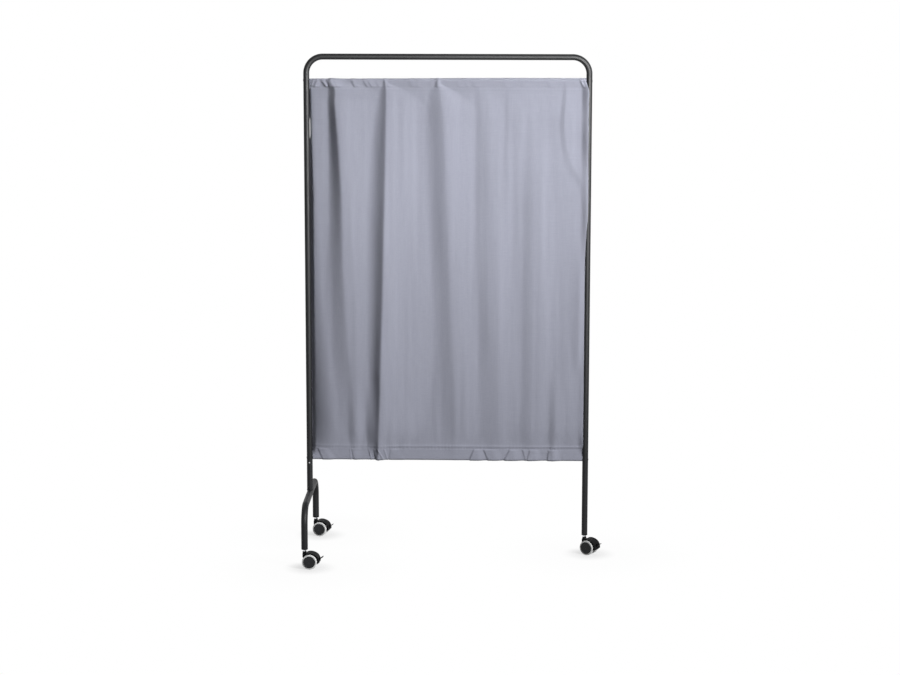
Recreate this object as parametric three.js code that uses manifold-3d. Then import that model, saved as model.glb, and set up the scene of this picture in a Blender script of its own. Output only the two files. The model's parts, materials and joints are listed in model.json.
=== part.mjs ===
// Ward privacy screen on wheels. Millimetres, Z up, the front of the screen looks along -Y.
//
// One bent tube makes the frame, an upside-down U. Its left upright stands on a bent foot tube that runs
// from front to back and carries two castors, and its right upright stands on a single castor. A cloth
// curtain hangs on a rod between the uprights, and a second rod in its bottom hem keeps it straight.

import * as THREE from 'three';
import { mergeVertices } from 'three/addons/utils/BufferGeometryUtils.js';
import Module from 'manifold-3d';

const wasm = await Module();
wasm.setup();

// Fits
const fitGap = 0.3; // between two pieces that seat on each other
const runGap = 0.5; // between pieces that turn inside each other
const overrun = 2; // how far a cut runs past what it cuts
const mergeTolerance = 0.0001; // points closer than this are one

// Frame tube
const screenHeight = 1700;
const screenWidth = 960;
const frameTube = 20;
const frameWall = 1.5;
const frameBend = 55; // bend radius on the centre line

// Foot tube and the spigot welded on its crown, which the left upright slides over
const footSpread = 445; // between its two castor stems
const footTube = 22;
const footWall = 1.5;
const footBend = 60;
const footHeight = 216; // top of the crown
const spigotWall = 1.5;
const spigotRodGap = 5; // between the spigot's top and the bottom rod
const footScrewShank = 4;
const footScrewHead = 7;
const footScrewHeadHeight = 2;
const footScrewInset = 7; // from either end of the spigot to a screw

// Curtain rods, each held by a bush and a screw in both uprights
const rodDiameter = 8;
const rodTapDepth = 14;
const rodTapDiameter = 5;
const bushWall = 0.9;
const bushFlange = 13;
const bushFlangeHeight = 1.8;
const rodScrewHead = 9;
const rodScrewHeadHeight = 2.2;

// Curtain
const curtainDrop = 63; // from the top rail's underside to the curtain's top edge
const curtainRise = 323; // from the floor to its bottom edge
const curtainSideGap = 3; // between an upright and the curtain
const clothThickness = 1.6;
const sleeveThickness = 1.2;
const topHem = 28;
const bottomHem = 40;
const foldDepth = 22;
const shoulderShare = 0.072; // how far left of a valley its slope starts, of the curtain's half width
const wallShare = 0.026; // how far right of a valley its steep side ends
const crestShare = -0.3; // how far forward the cloth stands between valleys, of the fold depth
const hemFoldShare = 0.35; // what is left of a fold at the hem stitching
const rowShares = [0, 0.07, 0.22, 0.42, 0.62, 0.8, 0.93, 1];

// Each valley of the curtain: its place on the top and the bottom edge, from the middle and as a share of
// the half width, and its depth there as a share of the fold depth
const valleyShares = [
  { top: -0.855, bottom: -0.732, topDepth: 0.9, bottomDepth: 0.45 },
  { top: -0.468, bottom: -0.541, topDepth: 0.65, bottomDepth: 1.0 },
  { top: -0.082, bottom: 0.031, topDepth: 0.5, bottomDepth: 0.45 },
  { top: 0.228, bottom: 0.299, topDepth: 0.4, bottomDepth: 0.5 },
  { top: 0.446, bottom: 0.47, topDepth: 0.3, bottomDepth: 0.15 },
  { top: 0.623, bottom: 0.604, topDepth: 0.3, bottomDepth: 0.4 },
  { top: 0.837, bottom: 0.768, topDepth: 0.6, bottomDepth: 0.5 },
];
const crestShares = [-0.66, -0.27, 0.1]; // extra columns in the widest flat stretches

// Castor: a twin-wheel furniture castor with a brake pedal
const wheelDiameter = 50;
const castorTrail = 18.5; // from the stem's axis to the axle
const castorWidth = 48; // over both hub caps
const webThickness = 13.4;
const webClearance = 1;
const tyreThickness = 4;
const tyreWidth = 13.3;
const tyreShoulder = 4.6;
const hubRimWall = 2.9;
const hubDisc = 3.1;
const hubBoss = 14;
const hubBossWidth = 12.8;
const capRecess = 0.8;
const capRim = 3.6;
const capRingWall = 1.8;
const capRingDepth = 5.3;
const capDiameter = 42;
const axleDiameter = 6;
const hoodClearance = 4.8; // between a tyre and the hood
const hoodWall = 3.2;
const hoodWidth = 42;
const axleBoss = 17;
const neckDiameter = 14;
const pinDiameter = 8; // lower end of the stem, inside the neck
const pinLength = 18;
const pinGrooveDepth = 0.7;
const pinGrooveWidth = 2.2;
const pinGrooveInset = 3.5;
const stemDiameter = 11;
const stemShow = 5.6; // bare stem between the neck and the leg's end fitting
const stemGrip = 22; // stem length inside the end fitting
const stemChamfer = 0.9;
const gripGrooveWidth = 2.4;
const gripGrooveDepth = 1.1;
const gripWire = 1.4;
const insertFlange = 2.8;
const insertLength = 30;
const insertBoreGap = 0.9;
const insertEdge = 0.7;

// Brake pedal
const pedalArmWidth = 8.2;
const pivotRadius = 24; // from the axle to the pedal's pin
const pivotBoss = 3.6;
const pedalPin = 2.6;
const shoeClearance = 1.6; // between the shoe and the tyres, pedal up
const shoeThickness = 2.6;
const shoeWidth = 36;
const tabStandoff = 1.5; // between the hood and the root of the pedal's tab
const tabLength = 13;
const tabThickness = 2.6;
const tabWidth = 14;
const tabTaperShare = 0.7;

// Angles round the axle, in degrees from straight behind, towards the top
const hoodFrontAngle = 108;
const hoodRearAngle = -5;
const webRearAngle = -3;
const pivotAngle = 6;
const shoeTopAngle = -8;
const shoeBottomAngle = -24;
const tabRootAngle = 14.5;
const tabRiseAngle = 35.5;
const forkLowAngle = -12;
const forkHighAngle = 24;
const windowLowAngle = -9;
const windowHighAngle = 25;
const webBossFromAngle = 190;
const webBossToAngle = 300;
const pivotBossFromAngle = 110;
const pivotBossToAngle = 250;

// How far each castor is turned about its stem, in degrees, from a trail along +X
const frontHeading = -4;
const backHeading = -12;
const rightHeading = -31;

// Facets
const tubeSides = 20;
const boreSides = 12;
const rodSides = 12;
const sleeveSides = 8;
const frameBendSteps = 8;
const footBendSteps = 7;
const wheelSides = 20;
const stemSides = 14;
const smallSides = 10;
const hoodSteps = 12;
const bossSteps = 5;
const shoeSteps = 3;

// Places that follow from the sizes. A faceted round is narrower across its flats than its corners.
const acrossFlats = (radius, sides) => radius * Math.cos(Math.PI / sides);
const overFlats = (radius, sides) => radius / Math.cos(Math.PI / sides);
const wheelRadius = wheelDiameter / 2;
const axleHeight = wheelRadius;
const wheelInner = Math.max(webThickness, neckDiameter) / 2 + webClearance;
const tyreOuter = wheelInner + tyreWidth;
const capUnder = tyreOuter + fitGap;
const capOuter = castorWidth / 2;
const hoodInner = wheelRadius + hoodClearance;
const hoodRadius = hoodInner + hoodWall;
const neckTop = axleHeight + hoodRadius;
const fittingBottom = neckTop + fitGap + stemShow;
const legEnd = fittingBottom + insertFlange + fitGap;
const uprightX = (screenWidth - frameTube) / 2;
const railHeight = screenHeight - frameTube / 2;
const frameBore = frameTube - 2 * frameWall;
const footBore = footTube - 2 * footWall;
const crownHeight = footHeight - footTube / 2;
const frameBoreFlat = acrossFlats(frameBore / 2, boreSides);
const spigotRadius = frameBoreFlat - fitGap;
const rodSeat = Math.sqrt(frameBoreFlat ** 2 - (rodDiameter / 2) ** 2) - fitGap; // past an upright's axis
const sleeveInner = overFlats(rodDiameter / 2 + fitGap, sleeveSides);
const sleeveOuter = sleeveInner + sleeveThickness;
const sleeveReach = acrossFlats(sleeveOuter, sleeveSides);
const curtainTop = screenHeight - frameTube - curtainDrop;
const topRodHeight = curtainTop - sleeveReach;
const bottomRodHeight = curtainRise + sleeveReach;
const spigotTop = bottomRodHeight - rodDiameter / 2 - spigotRodGap;
const curtainHalf = uprightX - frameTube / 2 - curtainSideGap;

// Finishes
const powderCoat = new THREE.MeshStandardMaterial({ color: 0x26282b, roughness: 0.42, metalness: 0.3 });
const brightSteel = new THREE.MeshStandardMaterial({ color: 0xc9cbce, roughness: 0.25, metalness: 1.0 });
const springSteel = new THREE.MeshStandardMaterial({ color: 0x8d9095, roughness: 0.35, metalness: 1.0 });
const blackNylon = new THREE.MeshStandardMaterial({ color: 0x1d1e20, roughness: 0.5, metalness: 0.0 });
const hubPlastic = new THREE.MeshStandardMaterial({ color: 0x33353a, roughness: 0.45, metalness: 0.0 });
const greyTyre = new THREE.MeshStandardMaterial({ color: 0xc8cacb, roughness: 0.6, metalness: 0.0 });
const curtainCloth = new THREE.MeshStandardMaterial({ color: 0xa0a3b2, roughness: 0.9, metalness: 0.0 });

const radians = THREE.MathUtils.degToRad;

// Solids: a closed geometry becomes a solid that can be joined and cut, and goes back to a geometry

function solid(geometry) {
  const bare = geometry.clone();
  bare.deleteAttribute('normal');
  bare.deleteAttribute('uv');
  const merged = mergeVertices(bare, mergeTolerance);
  const corners = Array.from(merged.index.array);
  const triangles = [];
  for (let i = 0; i < corners.length; i += 3) {
    const [a, b, c] = corners.slice(i, i + 3);
    if (a !== b && b !== c && c !== a) triangles.push(a, b, c);
  }
  const mesh = new wasm.Mesh({
    numProp: 3,
    vertProperties: new Float32Array(merged.attributes.position.array),
    triVerts: new Uint32Array(triangles),
  });
  return new wasm.Manifold(mesh);
}

function geometryOf(body) {
  const mesh = body.getMesh();
  const geometry = new THREE.BufferGeometry();
  geometry.setAttribute('position', new THREE.BufferAttribute(Float32Array.from(mesh.vertProperties), 3));
  geometry.setIndex(new THREE.BufferAttribute(Uint32Array.from(mesh.triVerts), 1));
  geometry.computeVertexNormals();
  return geometry;
}

// Outlines

function arc(centreX, centreY, radius, fromDegrees, toDegrees, steps) {
  const points = [];
  for (let i = 0; i <= steps; i += 1) {
    const angle = radians(fromDegrees + ((toDegrees - fromDegrees) * i) / steps);
    points.push(new THREE.Vector2(centreX + radius * Math.cos(angle), centreY + radius * Math.sin(angle)));
  }
  return points;
}

function circle(radius, sides) {
  return arc(0, 0, radius, 0, 360, sides).slice(0, sides);
}

function ring(outerRadius, outerSides, innerRadius, innerSides) {
  const shape = new THREE.Shape(circle(outerRadius, outerSides));
  shape.holes.push(new THREE.Path(circle(innerRadius, innerSides)));
  return shape;
}

// A body of revolution about Y. Its profile is a list of [radius, height] pairs. It either starts and
// ends on the axis or is closed on itself, and it is turned so that its faces point out.
function revolve(profile, sides) {
  const points = profile.map(([radius, height]) => new THREE.Vector2(radius, height));
  if (THREE.ShapeUtils.area(points) < 0) points.reverse();
  const onAxis = points[0].x === 0 && points[points.length - 1].x === 0;
  if (!onAxis) points.push(points[0].clone());
  return new THREE.LatheGeometry(points, sides, Math.PI / sides);
}

// The same, standing on Z
function revolveUpright(profile, sides) {
  return revolve(profile, sides).rotateX(Math.PI / 2);
}

// An outline in the X-Z plane, given thickness across Y and centred on it
function slab(points, width) {
  const geometry = new THREE.ExtrudeGeometry(new THREE.Shape(points), { depth: width, bevelEnabled: false });
  return geometry.rotateX(Math.PI / 2).translate(0, width / 2, 0);
}

// A path of straight runs with a round bend at each inner corner. It is stepped once along a straight
// run and a few times round a bend.
class BentPath extends THREE.Curve {
  constructor(corners, bendRadius, bendSteps) {
    super();
    this.stops = [corners[0].clone()];
    this.headings = [];
    for (let i = 1; i < corners.length - 1; i += 1) {
      const into = corners[i].clone().sub(corners[i - 1]).normalize();
      const outOf = corners[i + 1].clone().sub(corners[i]).normalize();
      const turn = into.angleTo(outOf);
      const side = outOf.clone().addScaledVector(into, -outOf.dot(into)).normalize();
      const start = corners[i].clone().addScaledVector(into, -bendRadius * Math.tan(turn / 2));
      const centre = start.clone().addScaledVector(side, bendRadius);
      if (i === 1) this.headings.push(into.clone());
      for (let step = 0; step <= bendSteps; step += 1) {
        const angle = (turn * step) / bendSteps;
        const stop = centre.clone();
        stop.addScaledVector(side, -bendRadius * Math.cos(angle));
        stop.addScaledVector(into, bendRadius * Math.sin(angle));
        const heading = into.clone().multiplyScalar(Math.cos(angle)).addScaledVector(side, Math.sin(angle));
        this.stops.push(stop);
        this.headings.push(heading);
      }
    }
    this.stops.push(corners[corners.length - 1].clone());
    this.headings.push(this.headings[this.headings.length - 1].clone());
  }

  get steps() {
    return this.stops.length - 1;
  }

  getPoint(t, target = new THREE.Vector3()) {
    return target.copy(this.stops[Math.round(t * this.steps)]);
  }

  getPointAt(u, target) {
    return this.getPoint(u, target);
  }

  getTangentAt(u, target = new THREE.Vector3()) {
    return target.copy(this.headings[Math.round(u * this.steps)]);
  }
}

function bentTube(path, diameter, bore) {
  const section = ring(diameter / 2, tubeSides, bore / 2, boreSides);
  return new THREE.ExtrudeGeometry(section, { steps: path.steps, extrudePath: path });
}

// A straight bar along X, Y or Z, for a cut
function bar(axis, diameter, from, to, sides, place) {
  const geometry = new THREE.CylinderGeometry(diameter / 2, diameter / 2, to - from, sides);
  geometry.translate(0, (from + to) / 2, 0);
  if (axis === 'x') geometry.rotateZ(-Math.PI / 2);
  if (axis === 'z') geometry.rotateX(Math.PI / 2);
  return solid(geometry.translate(place.x ?? 0, place.y ?? 0, place.z ?? 0));
}

function node(name, geometry, material) {
  const mesh = new THREE.Mesh(geometry, material);
  mesh.name = name;
  return mesh;
}

// Frame: the hoop, drilled for the rods and the foot screws, its left end saddle-cut to the foot's crown

function footScrewHeights() {
  return { low: footHeight + footScrewInset, high: spigotTop - footScrewInset };
}

function frameHoop() {
  const leftEnd = crownHeight;
  const corners = [
    new THREE.Vector3(-uprightX, 0, leftEnd),
    new THREE.Vector3(-uprightX, 0, railHeight),
    new THREE.Vector3(uprightX, 0, railHeight),
    new THREE.Vector3(uprightX, 0, legEnd),
  ];
  let hoop = solid(bentTube(new BentPath(corners, frameBend, frameBendSteps), frameTube, frameBore));
  const crown = { x: -uprightX, z: crownHeight };
  hoop = hoop.subtract(bar('y', footTube + 2 * fitGap, -frameTube, frameTube, tubeSides, crown));
  for (const height of [topRodHeight, bottomRodHeight]) {
    for (const side of [-1, 1]) {
      const axis = { x: side * uprightX, z: height };
      const bushHole = rodDiameter + 2 * (fitGap + bushWall + fitGap);
      const inward = side > 0 ? [-frameTube / 2 - overrun, 0] : [0, frameTube / 2 + overrun];
      const outward = side > 0 ? [0, frameTube / 2 + overrun] : [-frameTube / 2 - overrun, 0];
      hoop = hoop.subtract(bar('x', bushHole, ...inward, rodSides, axis));
      hoop = hoop.subtract(bar('x', rodTapDiameter + 2 * fitGap, ...outward, rodSides, axis));
    }
  }
  for (const height of Object.values(footScrewHeights())) {
    const axis = { x: -uprightX, z: height };
    const hole = footScrewShank + 2 * fitGap;
    hoop = hoop.subtract(bar('y', hole, -frameTube / 2 - overrun, 0, rodSides, axis));
  }
  return geometryOf(hoop);
}

// Foot: the arch with its spigot

function footArch() {
  const reach = footSpread / 2;
  const corners = [
    new THREE.Vector3(-uprightX, -reach, legEnd),
    new THREE.Vector3(-uprightX, -reach, crownHeight),
    new THREE.Vector3(-uprightX, reach, crownHeight),
    new THREE.Vector3(-uprightX, reach, legEnd),
  ];
  const arch = solid(bentTube(new BentPath(corners, footBend, footBendSteps), footTube, footBore));
  const spigotRoot = footHeight - footWall;
  const profile = [
    [spigotRadius - spigotWall, spigotRoot],
    [spigotRadius, spigotRoot],
    [spigotRadius, spigotTop],
    [spigotRadius - spigotWall, spigotTop],
  ];
  let spigot = solid(revolveUpright(profile, boreSides).translate(-uprightX, 0, 0));
  for (const height of Object.values(footScrewHeights())) {
    const axis = { x: -uprightX, z: height };
    const hole = footScrewShank + 2 * fitGap;
    spigot = spigot.subtract(bar('y', hole, -frameTube / 2, 0, rodSides, axis));
  }
  return geometryOf(arch.add(spigot));
}

function footScrew(height) {
  const face = frameTube / 2 + fitGap;
  const shankEnd = spigotRadius - spigotWall;
  const profile = [
    [0, shankEnd],
    [footScrewShank / 2, shankEnd],
    [footScrewShank / 2, face],
    [footScrewHead / 2, face],
    [footScrewHead / 2, face + footScrewHeadHeight / 2],
    [footScrewHead / 4, face + footScrewHeadHeight],
    [0, face + footScrewHeadHeight],
  ];
  return revolve(profile, smallSides).rotateZ(Math.PI).translate(-uprightX, 0, height);
}

// Rods with their bushes and screws

function curtainRod(height) {
  const end = uprightX + rodSeat;
  const tap = rodTapDiameter / 2 + fitGap;
  const profile = [
    [0, -end + rodTapDepth],
    [tap, -end + rodTapDepth],
    [tap, -end],
    [rodDiameter / 2, -end],
    [rodDiameter / 2, end],
    [tap, end],
    [tap, end - rodTapDepth],
    [0, end - rodTapDepth],
  ];
  return revolve(profile, rodSides).rotateZ(-Math.PI / 2).translate(0, 0, height);
}

// The bush on the right-hand upright; the left one is the same piece turned round
function rodBush() {
  const bore = rodDiameter / 2 + fitGap;
  const collar = revolve([
    [bore, frameBore / 2 - bushWall],
    [bore + bushWall, frameBore / 2 - bushWall],
    [bore + bushWall, frameTube / 2 + fitGap + bushFlangeHeight],
    [bore, frameTube / 2 + fitGap + bushFlangeHeight],
  ], rodSides);
  const flange = revolve([
    [bore, 0],
    [bushFlange / 2, 0],
    [bushFlange / 2, frameTube / 2 + fitGap + bushFlangeHeight],
    [bore, frameTube / 2 + fitGap + bushFlangeHeight],
  ], rodSides);
  const upright = bar('z', frameTube + 2 * fitGap, -bushFlange, bushFlange, tubeSides, {});
  const saddled = solid(flange).subtract(upright);
  return geometryOf(solid(collar).add(saddled));
}

function rodScrew() {
  const face = frameTube / 2 + fitGap;
  const tip = rodSeat - rodTapDepth + fitGap;
  const profile = [
    [0, tip],
    [rodTapDiameter / 2, tip],
    [rodTapDiameter / 2, face],
    [rodScrewHead / 2, face],
    [rodScrewHead / 2, face + rodScrewHeadHeight / 3],
    [rodScrewHead / 4, face + rodScrewHeadHeight],
    [0, face + rodScrewHeadHeight],
  ];
  return revolve(profile, smallSides);
}

// Curtain: one cross-section for each column of the cloth, joined from side to side. A section is the
// outer outline, which wraps both rods, and the two sleeve bores.

function foldEnvelope(share) {
  const near = Math.min(share, 1 - share) / rowShares[2];
  const rise = THREE.MathUtils.smoothstep(near, 0, 1);
  return hemFoldShare + (1 - hemFoldShare) * rise;
}

function curtainColumns() {
  const edge = { topDepth: 0, bottomDepth: 0 };
  const columns = [{ top: -1, bottom: -1, ...edge }, { top: 1, bottom: 1, ...edge }];
  for (const { top, bottom, topDepth, bottomDepth } of valleyShares) {
    const crest = { topDepth: crestShare * topDepth, bottomDepth: crestShare * bottomDepth };
    columns.push({ top: top - shoulderShare, bottom: bottom - shoulderShare, ...crest });
    columns.push({ top, bottom, topDepth, bottomDepth });
    columns.push({ top: top + wallShare, bottom: bottom + wallShare, ...crest });
  }
  for (const share of crestShares) {
    columns.push({ top: share, bottom: share, topDepth: crestShare, bottomDepth: crestShare });
  }
  return columns.sort((a, b) => a.top - b.top);
}

function curtainSection(column) {
  const half = clothThickness / 2;
  const topStitch = curtainTop - topHem;
  const bottomStitch = curtainRise + bottomHem;
  const side = (share) => curtainHalf * THREE.MathUtils.lerp(column.top, column.bottom, share);
  const point = (share, y, z) => new THREE.Vector3(side(share), y, z);
  const panel = (face) => rowShares.map((share) => {
    const depth = THREE.MathUtils.lerp(column.topDepth, column.bottomDepth, share);
    const y = foldDepth * depth * foldEnvelope(share) + face;
    return point(share, y, THREE.MathUtils.lerp(topStitch, bottomStitch, share));
  });
  const sleeve = (share, rodHeight, radius, from, count) => {
    const points = [];
    for (let i = 0; i < count; i += 1) {
      const angle = ((from + i + 0.5) * 2 * Math.PI) / sleeveSides;
      points.push(point(share, radius * Math.cos(angle), rodHeight + radius * Math.sin(angle)));
    }
    return points;
  };
  const wrapped = sleeveSides - 2;
  const outline = [
    ...sleeve(0, topRodHeight, sleeveOuter, -1, wrapped),
    ...panel(-half),
    ...sleeve(1, bottomRodHeight, sleeveOuter, 3, wrapped),
    ...panel(half).reverse(),
  ];
  const bores = [
    sleeve(0, topRodHeight, sleeveInner, 0, sleeveSides),
    sleeve(1, bottomRodHeight, sleeveInner, 0, sleeveSides),
  ];
  return { outline, bores };
}

function curtain() {
  const sections = curtainColumns().map(curtainSection);
  const positions = [];
  const triangles = [];
  const firstOf = sections.map(({ outline, bores }) => {
    const first = positions.length / 3;
    for (const p of [...outline, ...bores.flat()]) positions.push(p.x, p.y, p.z);
    return first;
  });
  const outlineCount = sections[0].outline.length;
  const loops = [{ start: 0, count: outlineCount, inside: false }];
  sections[0].bores.forEach((bore, i) => {
    loops.push({ start: outlineCount + i * sleeveSides, count: bore.length, inside: true });
  });
  for (let s = 0; s < sections.length - 1; s += 1) {
    for (const { start, count, inside } of loops) {
      for (let i = 0; i < count; i += 1) {
        const next = (i + 1) % count;
        const a = firstOf[s] + start + i;
        const b = firstOf[s] + start + next;
        const c = firstOf[s + 1] + start + next;
        const d = firstOf[s + 1] + start + i;
        if (inside) triangles.push(a, d, c, a, c, b);
        else triangles.push(a, b, c, a, c, d);
      }
    }
  }
  const flat = (loop) => loop.map((p) => new THREE.Vector2(p.y, p.z));
  const { outline, bores } = sections[0];
  const cap = THREE.ShapeUtils.triangulateShape(flat(outline), bores.map(flat));
  for (const [a, b, c] of cap) {
    triangles.push(firstOf[0] + a, firstOf[0] + c, firstOf[0] + b);
    const last = firstOf[sections.length - 1];
    triangles.push(last + a, last + b, last + c);
  }
  const geometry = new THREE.BufferGeometry();
  geometry.setAttribute('position', new THREE.Float32BufferAttribute(positions, 3));
  geometry.setIndex(triangles);
  geometry.computeVertexNormals();
  return geometry;
}

// Castor. Its own frame has the floor point under the stem as origin, the trail along +X and the axle
// along Y.

function endFitting(tube, bore) {
  const outer = acrossFlats(bore / 2, boreSides) - fitGap;
  const inner = stemDiameter / 2 + insertBoreGap;
  const flangeTop = fittingBottom + insertFlange;
  return revolveUpright([
    [inner, fittingBottom],
    [tube / 2 - insertEdge, fittingBottom],
    [tube / 2, fittingBottom + insertEdge],
    [tube / 2, flangeTop],
    [outer, flangeTop],
    [outer, fittingBottom + insertLength],
    [inner, fittingBottom + insertLength],
  ], stemSides);
}

function castorStem() {
  const pin = pinDiameter / 2;
  const stem = stemDiameter / 2;
  const pinEnd = neckTop - pinLength;
  const grooveLow = pinEnd + pinGrooveInset;
  const top = fittingBottom + stemGrip;
  const gripLow = (fittingBottom + top - gripGrooveWidth) / 2;
  return revolveUpright([
    [0, pinEnd],
    [pin - stemChamfer, pinEnd],
    [pin, pinEnd + stemChamfer],
    [pin, grooveLow],
    [pin - pinGrooveDepth, grooveLow],
    [pin - pinGrooveDepth, grooveLow + pinGrooveWidth],
    [pin, grooveLow + pinGrooveWidth],
    [pin, neckTop + fitGap],
    [stem, neckTop + fitGap],
    [stem, gripLow],
    [stem - gripGrooveDepth, gripLow],
    [stem - gripGrooveDepth, gripLow + gripGrooveWidth],
    [stem, gripLow + gripGrooveWidth],
    [stem, top - stemChamfer],
    [stem - stemChamfer, top],
    [0, top],
  ], stemSides);
}

// The spring ring sits in the stem's groove and grips the end fitting's bore
function gripRing() {
  const stem = stemDiameter / 2;
  const inner = stem - gripGrooveDepth + fitGap;
  const outer = stem + insertBoreGap - fitGap;
  const middle = fittingBottom + stemGrip / 2;
  return revolveUpright([
    [inner, middle - gripWire / 2],
    [outer, middle - gripWire / 2],
    [outer, middle + gripWire / 2],
    [inner, middle + gripWire / 2],
  ], stemSides);
}

function aroundAxle(radius, fromDegrees, toDegrees, steps) {
  return arc(castorTrail, axleHeight, radius, fromDegrees, toDegrees, steps);
}

function atAxle(radius, degrees) {
  return aroundAxle(radius, degrees, degrees, 1)[0];
}

function sector(innerRadius, outerRadius, lowAngle, highAngle, steps) {
  return [
    ...aroundAxle(outerRadius, lowAngle, highAngle, steps),
    ...aroundAxle(innerRadius, highAngle, lowAngle, steps),
  ];
}

function hoodWeb() {
  const neck = neckDiameter / 2;
  const middle = hoodInner + hoodWall / 2;
  const shoulder = neckTop - hoodWall * 2;
  return [
    ...aroundAxle(axleBoss / 2, webBossFromAngle, webBossToAngle, bossSteps),
    ...aroundAxle(middle, webRearAngle, hoodFrontAngle, hoodSteps),
    new THREE.Vector2(neck - fitGap, shoulder),
    new THREE.Vector2(-neck + fitGap, shoulder),
    new THREE.Vector2(-neck + fitGap, (shoulder + axleHeight) / 2),
  ];
}

function stemSocket() {
  const bore = pinDiameter / 2 + runGap;
  const bead = bore - pinGrooveDepth;
  const end = neckTop - pinLength - runGap;
  const beadMiddle = neckTop - pinLength + pinGrooveInset + pinGrooveWidth / 2;
  const beadHalf = pinGrooveWidth / 2 - runGap;
  return solid(revolveUpright([
    [0, end],
    [bore, end],
    [bore, beadMiddle - beadHalf],
    [bead, beadMiddle - beadHalf],
    [bead, beadMiddle + beadHalf],
    [bore, beadMiddle + beadHalf],
    [bore, neckTop + overrun],
    [0, neckTop + overrun],
  ], stemSides));
}

function castorHood() {
  const neck = neckDiameter / 2;
  const neckBottom = neckTop - pinLength - hoodWall;
  const shell = solid(slab(sector(hoodInner, hoodRadius, hoodRearAngle, hoodFrontAngle, hoodSteps), hoodWidth));
  const web = solid(slab(hoodWeb(), webThickness));
  const column = solid(revolveUpright([
    [0, neckBottom],
    [neck, neckBottom],
    [neck, neckTop - stemChamfer],
    [neck - stemChamfer, neckTop],
    [0, neckTop],
  ], stemSides));
  const forkWidth = pedalArmWidth + 2 * runGap;
  const forkInner = pivotRadius - pivotBoss - runGap;
  const fork = slab(sector(forkInner, hoodInner, forkLowAngle, forkHighAngle, shoeSteps), forkWidth);
  const window = slab(
    sector(hoodInner - hoodWall, hoodRadius + overrun, windowLowAngle, windowHighAngle, shoeSteps),
    forkWidth,
  );
  const axle = { x: castorTrail, z: axleHeight };
  const pivot = atAxle(pivotRadius, pivotAngle);
  const across = webThickness / 2 + overrun;
  return geometryOf(
    shell
      .add(web)
      .add(column)
      .subtract(stemSocket())
      .subtract(solid(fork))
      .subtract(solid(window))
      .subtract(bar('y', axleDiameter + 2 * fitGap, -across, across, stemSides, axle))
      .subtract(bar('y', pedalPin + 2 * fitGap, -across, across, smallSides, { x: pivot.x, z: pivot.y })),
  );
}

function axlePin() {
  const end = capUnder - runGap - fitGap;
  const geometry = new THREE.CylinderGeometry(axleDiameter / 2, axleDiameter / 2, 2 * end, stemSides);
  return geometry.translate(castorTrail, 0, axleHeight);
}

function pedalPivotPin() {
  const pivot = atAxle(pivotRadius, pivotAngle);
  const geometry = new THREE.CylinderGeometry(pedalPin / 2, pedalPin / 2, webThickness, smallSides);
  return geometry.translate(pivot.x, 0, pivot.y);
}

// The pedal: an arm on its pin between the two cheeks of the web, a tab outside the hood and a shoe that
// comes down on both tyres when the tab is trodden on
function brakePedal() {
  const pivot = atAxle(pivotRadius, pivotAngle);
  const shoeInner = wheelRadius + shoeClearance;
  const shoeOuter = shoeInner + shoeThickness;
  const root = atAxle(hoodRadius + tabStandoff, tabRootAngle);
  const along = new THREE.Vector2(Math.cos(radians(tabRiseAngle)), Math.sin(radians(tabRiseAngle)));
  const up = new THREE.Vector2(-along.y, along.x).multiplyScalar(tabThickness / 2);
  const tip = root.clone().addScaledVector(along, tabLength);
  const arm = slab([
    ...arc(pivot.x, pivot.y, pivotBoss, pivotBossFromAngle, pivotBossToAngle, shoeSteps),
    atAxle(shoeInner, shoeBottomAngle),
    atAxle(shoeOuter, shoeBottomAngle),
    atAxle(shoeOuter, shoeTopAngle),
    root.clone().sub(up).addScaledVector(along, tabThickness),
    root.clone().add(up).addScaledVector(along, tabThickness),
    root.clone().add(up),
  ], pedalArmWidth);
  const shoe = slab(sector(shoeInner, shoeOuter, shoeBottomAngle, shoeTopAngle, shoeSteps), shoeWidth);
  const tab = slab([
    root.clone().sub(up),
    tip.clone().addScaledVector(up, -tabTaperShare),
    tip.clone().addScaledVector(along, tabThickness / 2),
    tip.clone().addScaledVector(up, tabTaperShare),
    root.clone().add(up),
  ], tabWidth);
  const hole = pedalPin + 2 * fitGap;
  return geometryOf(
    solid(arm)
      .add(solid(shoe))
      .add(solid(tab))
      .subtract(bar('y', hole, -pedalArmWidth, pedalArmWidth, smallSides, { x: pivot.x, z: pivot.y })),
  );
}

// A wheel is drawn on the +Y end of the axle, with the axle as its Y axis

const tyreBore = wheelRadius - tyreThickness;
const rimOuter = tyreBore - fitGap;
const rimInner = rimOuter - hubRimWall;

// The tread's flats are as far out as the wheel's radius, so the tyre stands on a flat
function tyre() {
  const tread = overFlats(wheelRadius, wheelSides);
  const edge = tyreThickness / 2;
  return revolve([
    [tyreBore, wheelInner],
    [tread - edge / 2, wheelInner],
    [tread, wheelInner + edge],
    [tread, tyreOuter - tyreShoulder],
    [tread - edge / 2, tyreOuter - tyreShoulder / 3],
    [tyreBore + edge / 2, tyreOuter],
    [tyreBore, tyreOuter],
  ], wheelSides);
}

function wheelHub() {
  const bore = axleDiameter / 2 + fitGap;
  const bossInner = webThickness / 2 + runGap;
  const discInner = wheelInner + fitGap;
  const rimOuterFace = tyreOuter - fitGap;
  return revolve([
    [bore, bossInner],
    [hubBoss / 2, bossInner],
    [hubBoss / 2, discInner],
    [rimOuter, discInner],
    [rimOuter, rimOuterFace],
    [rimInner, rimOuterFace],
    [rimInner, discInner + hubDisc],
    [hubBoss / 2, discInner + hubDisc],
    [hubBoss / 2, bossInner + hubBossWidth],
    [bore, bossInner + hubBossWidth],
  ], wheelSides);
}

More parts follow.
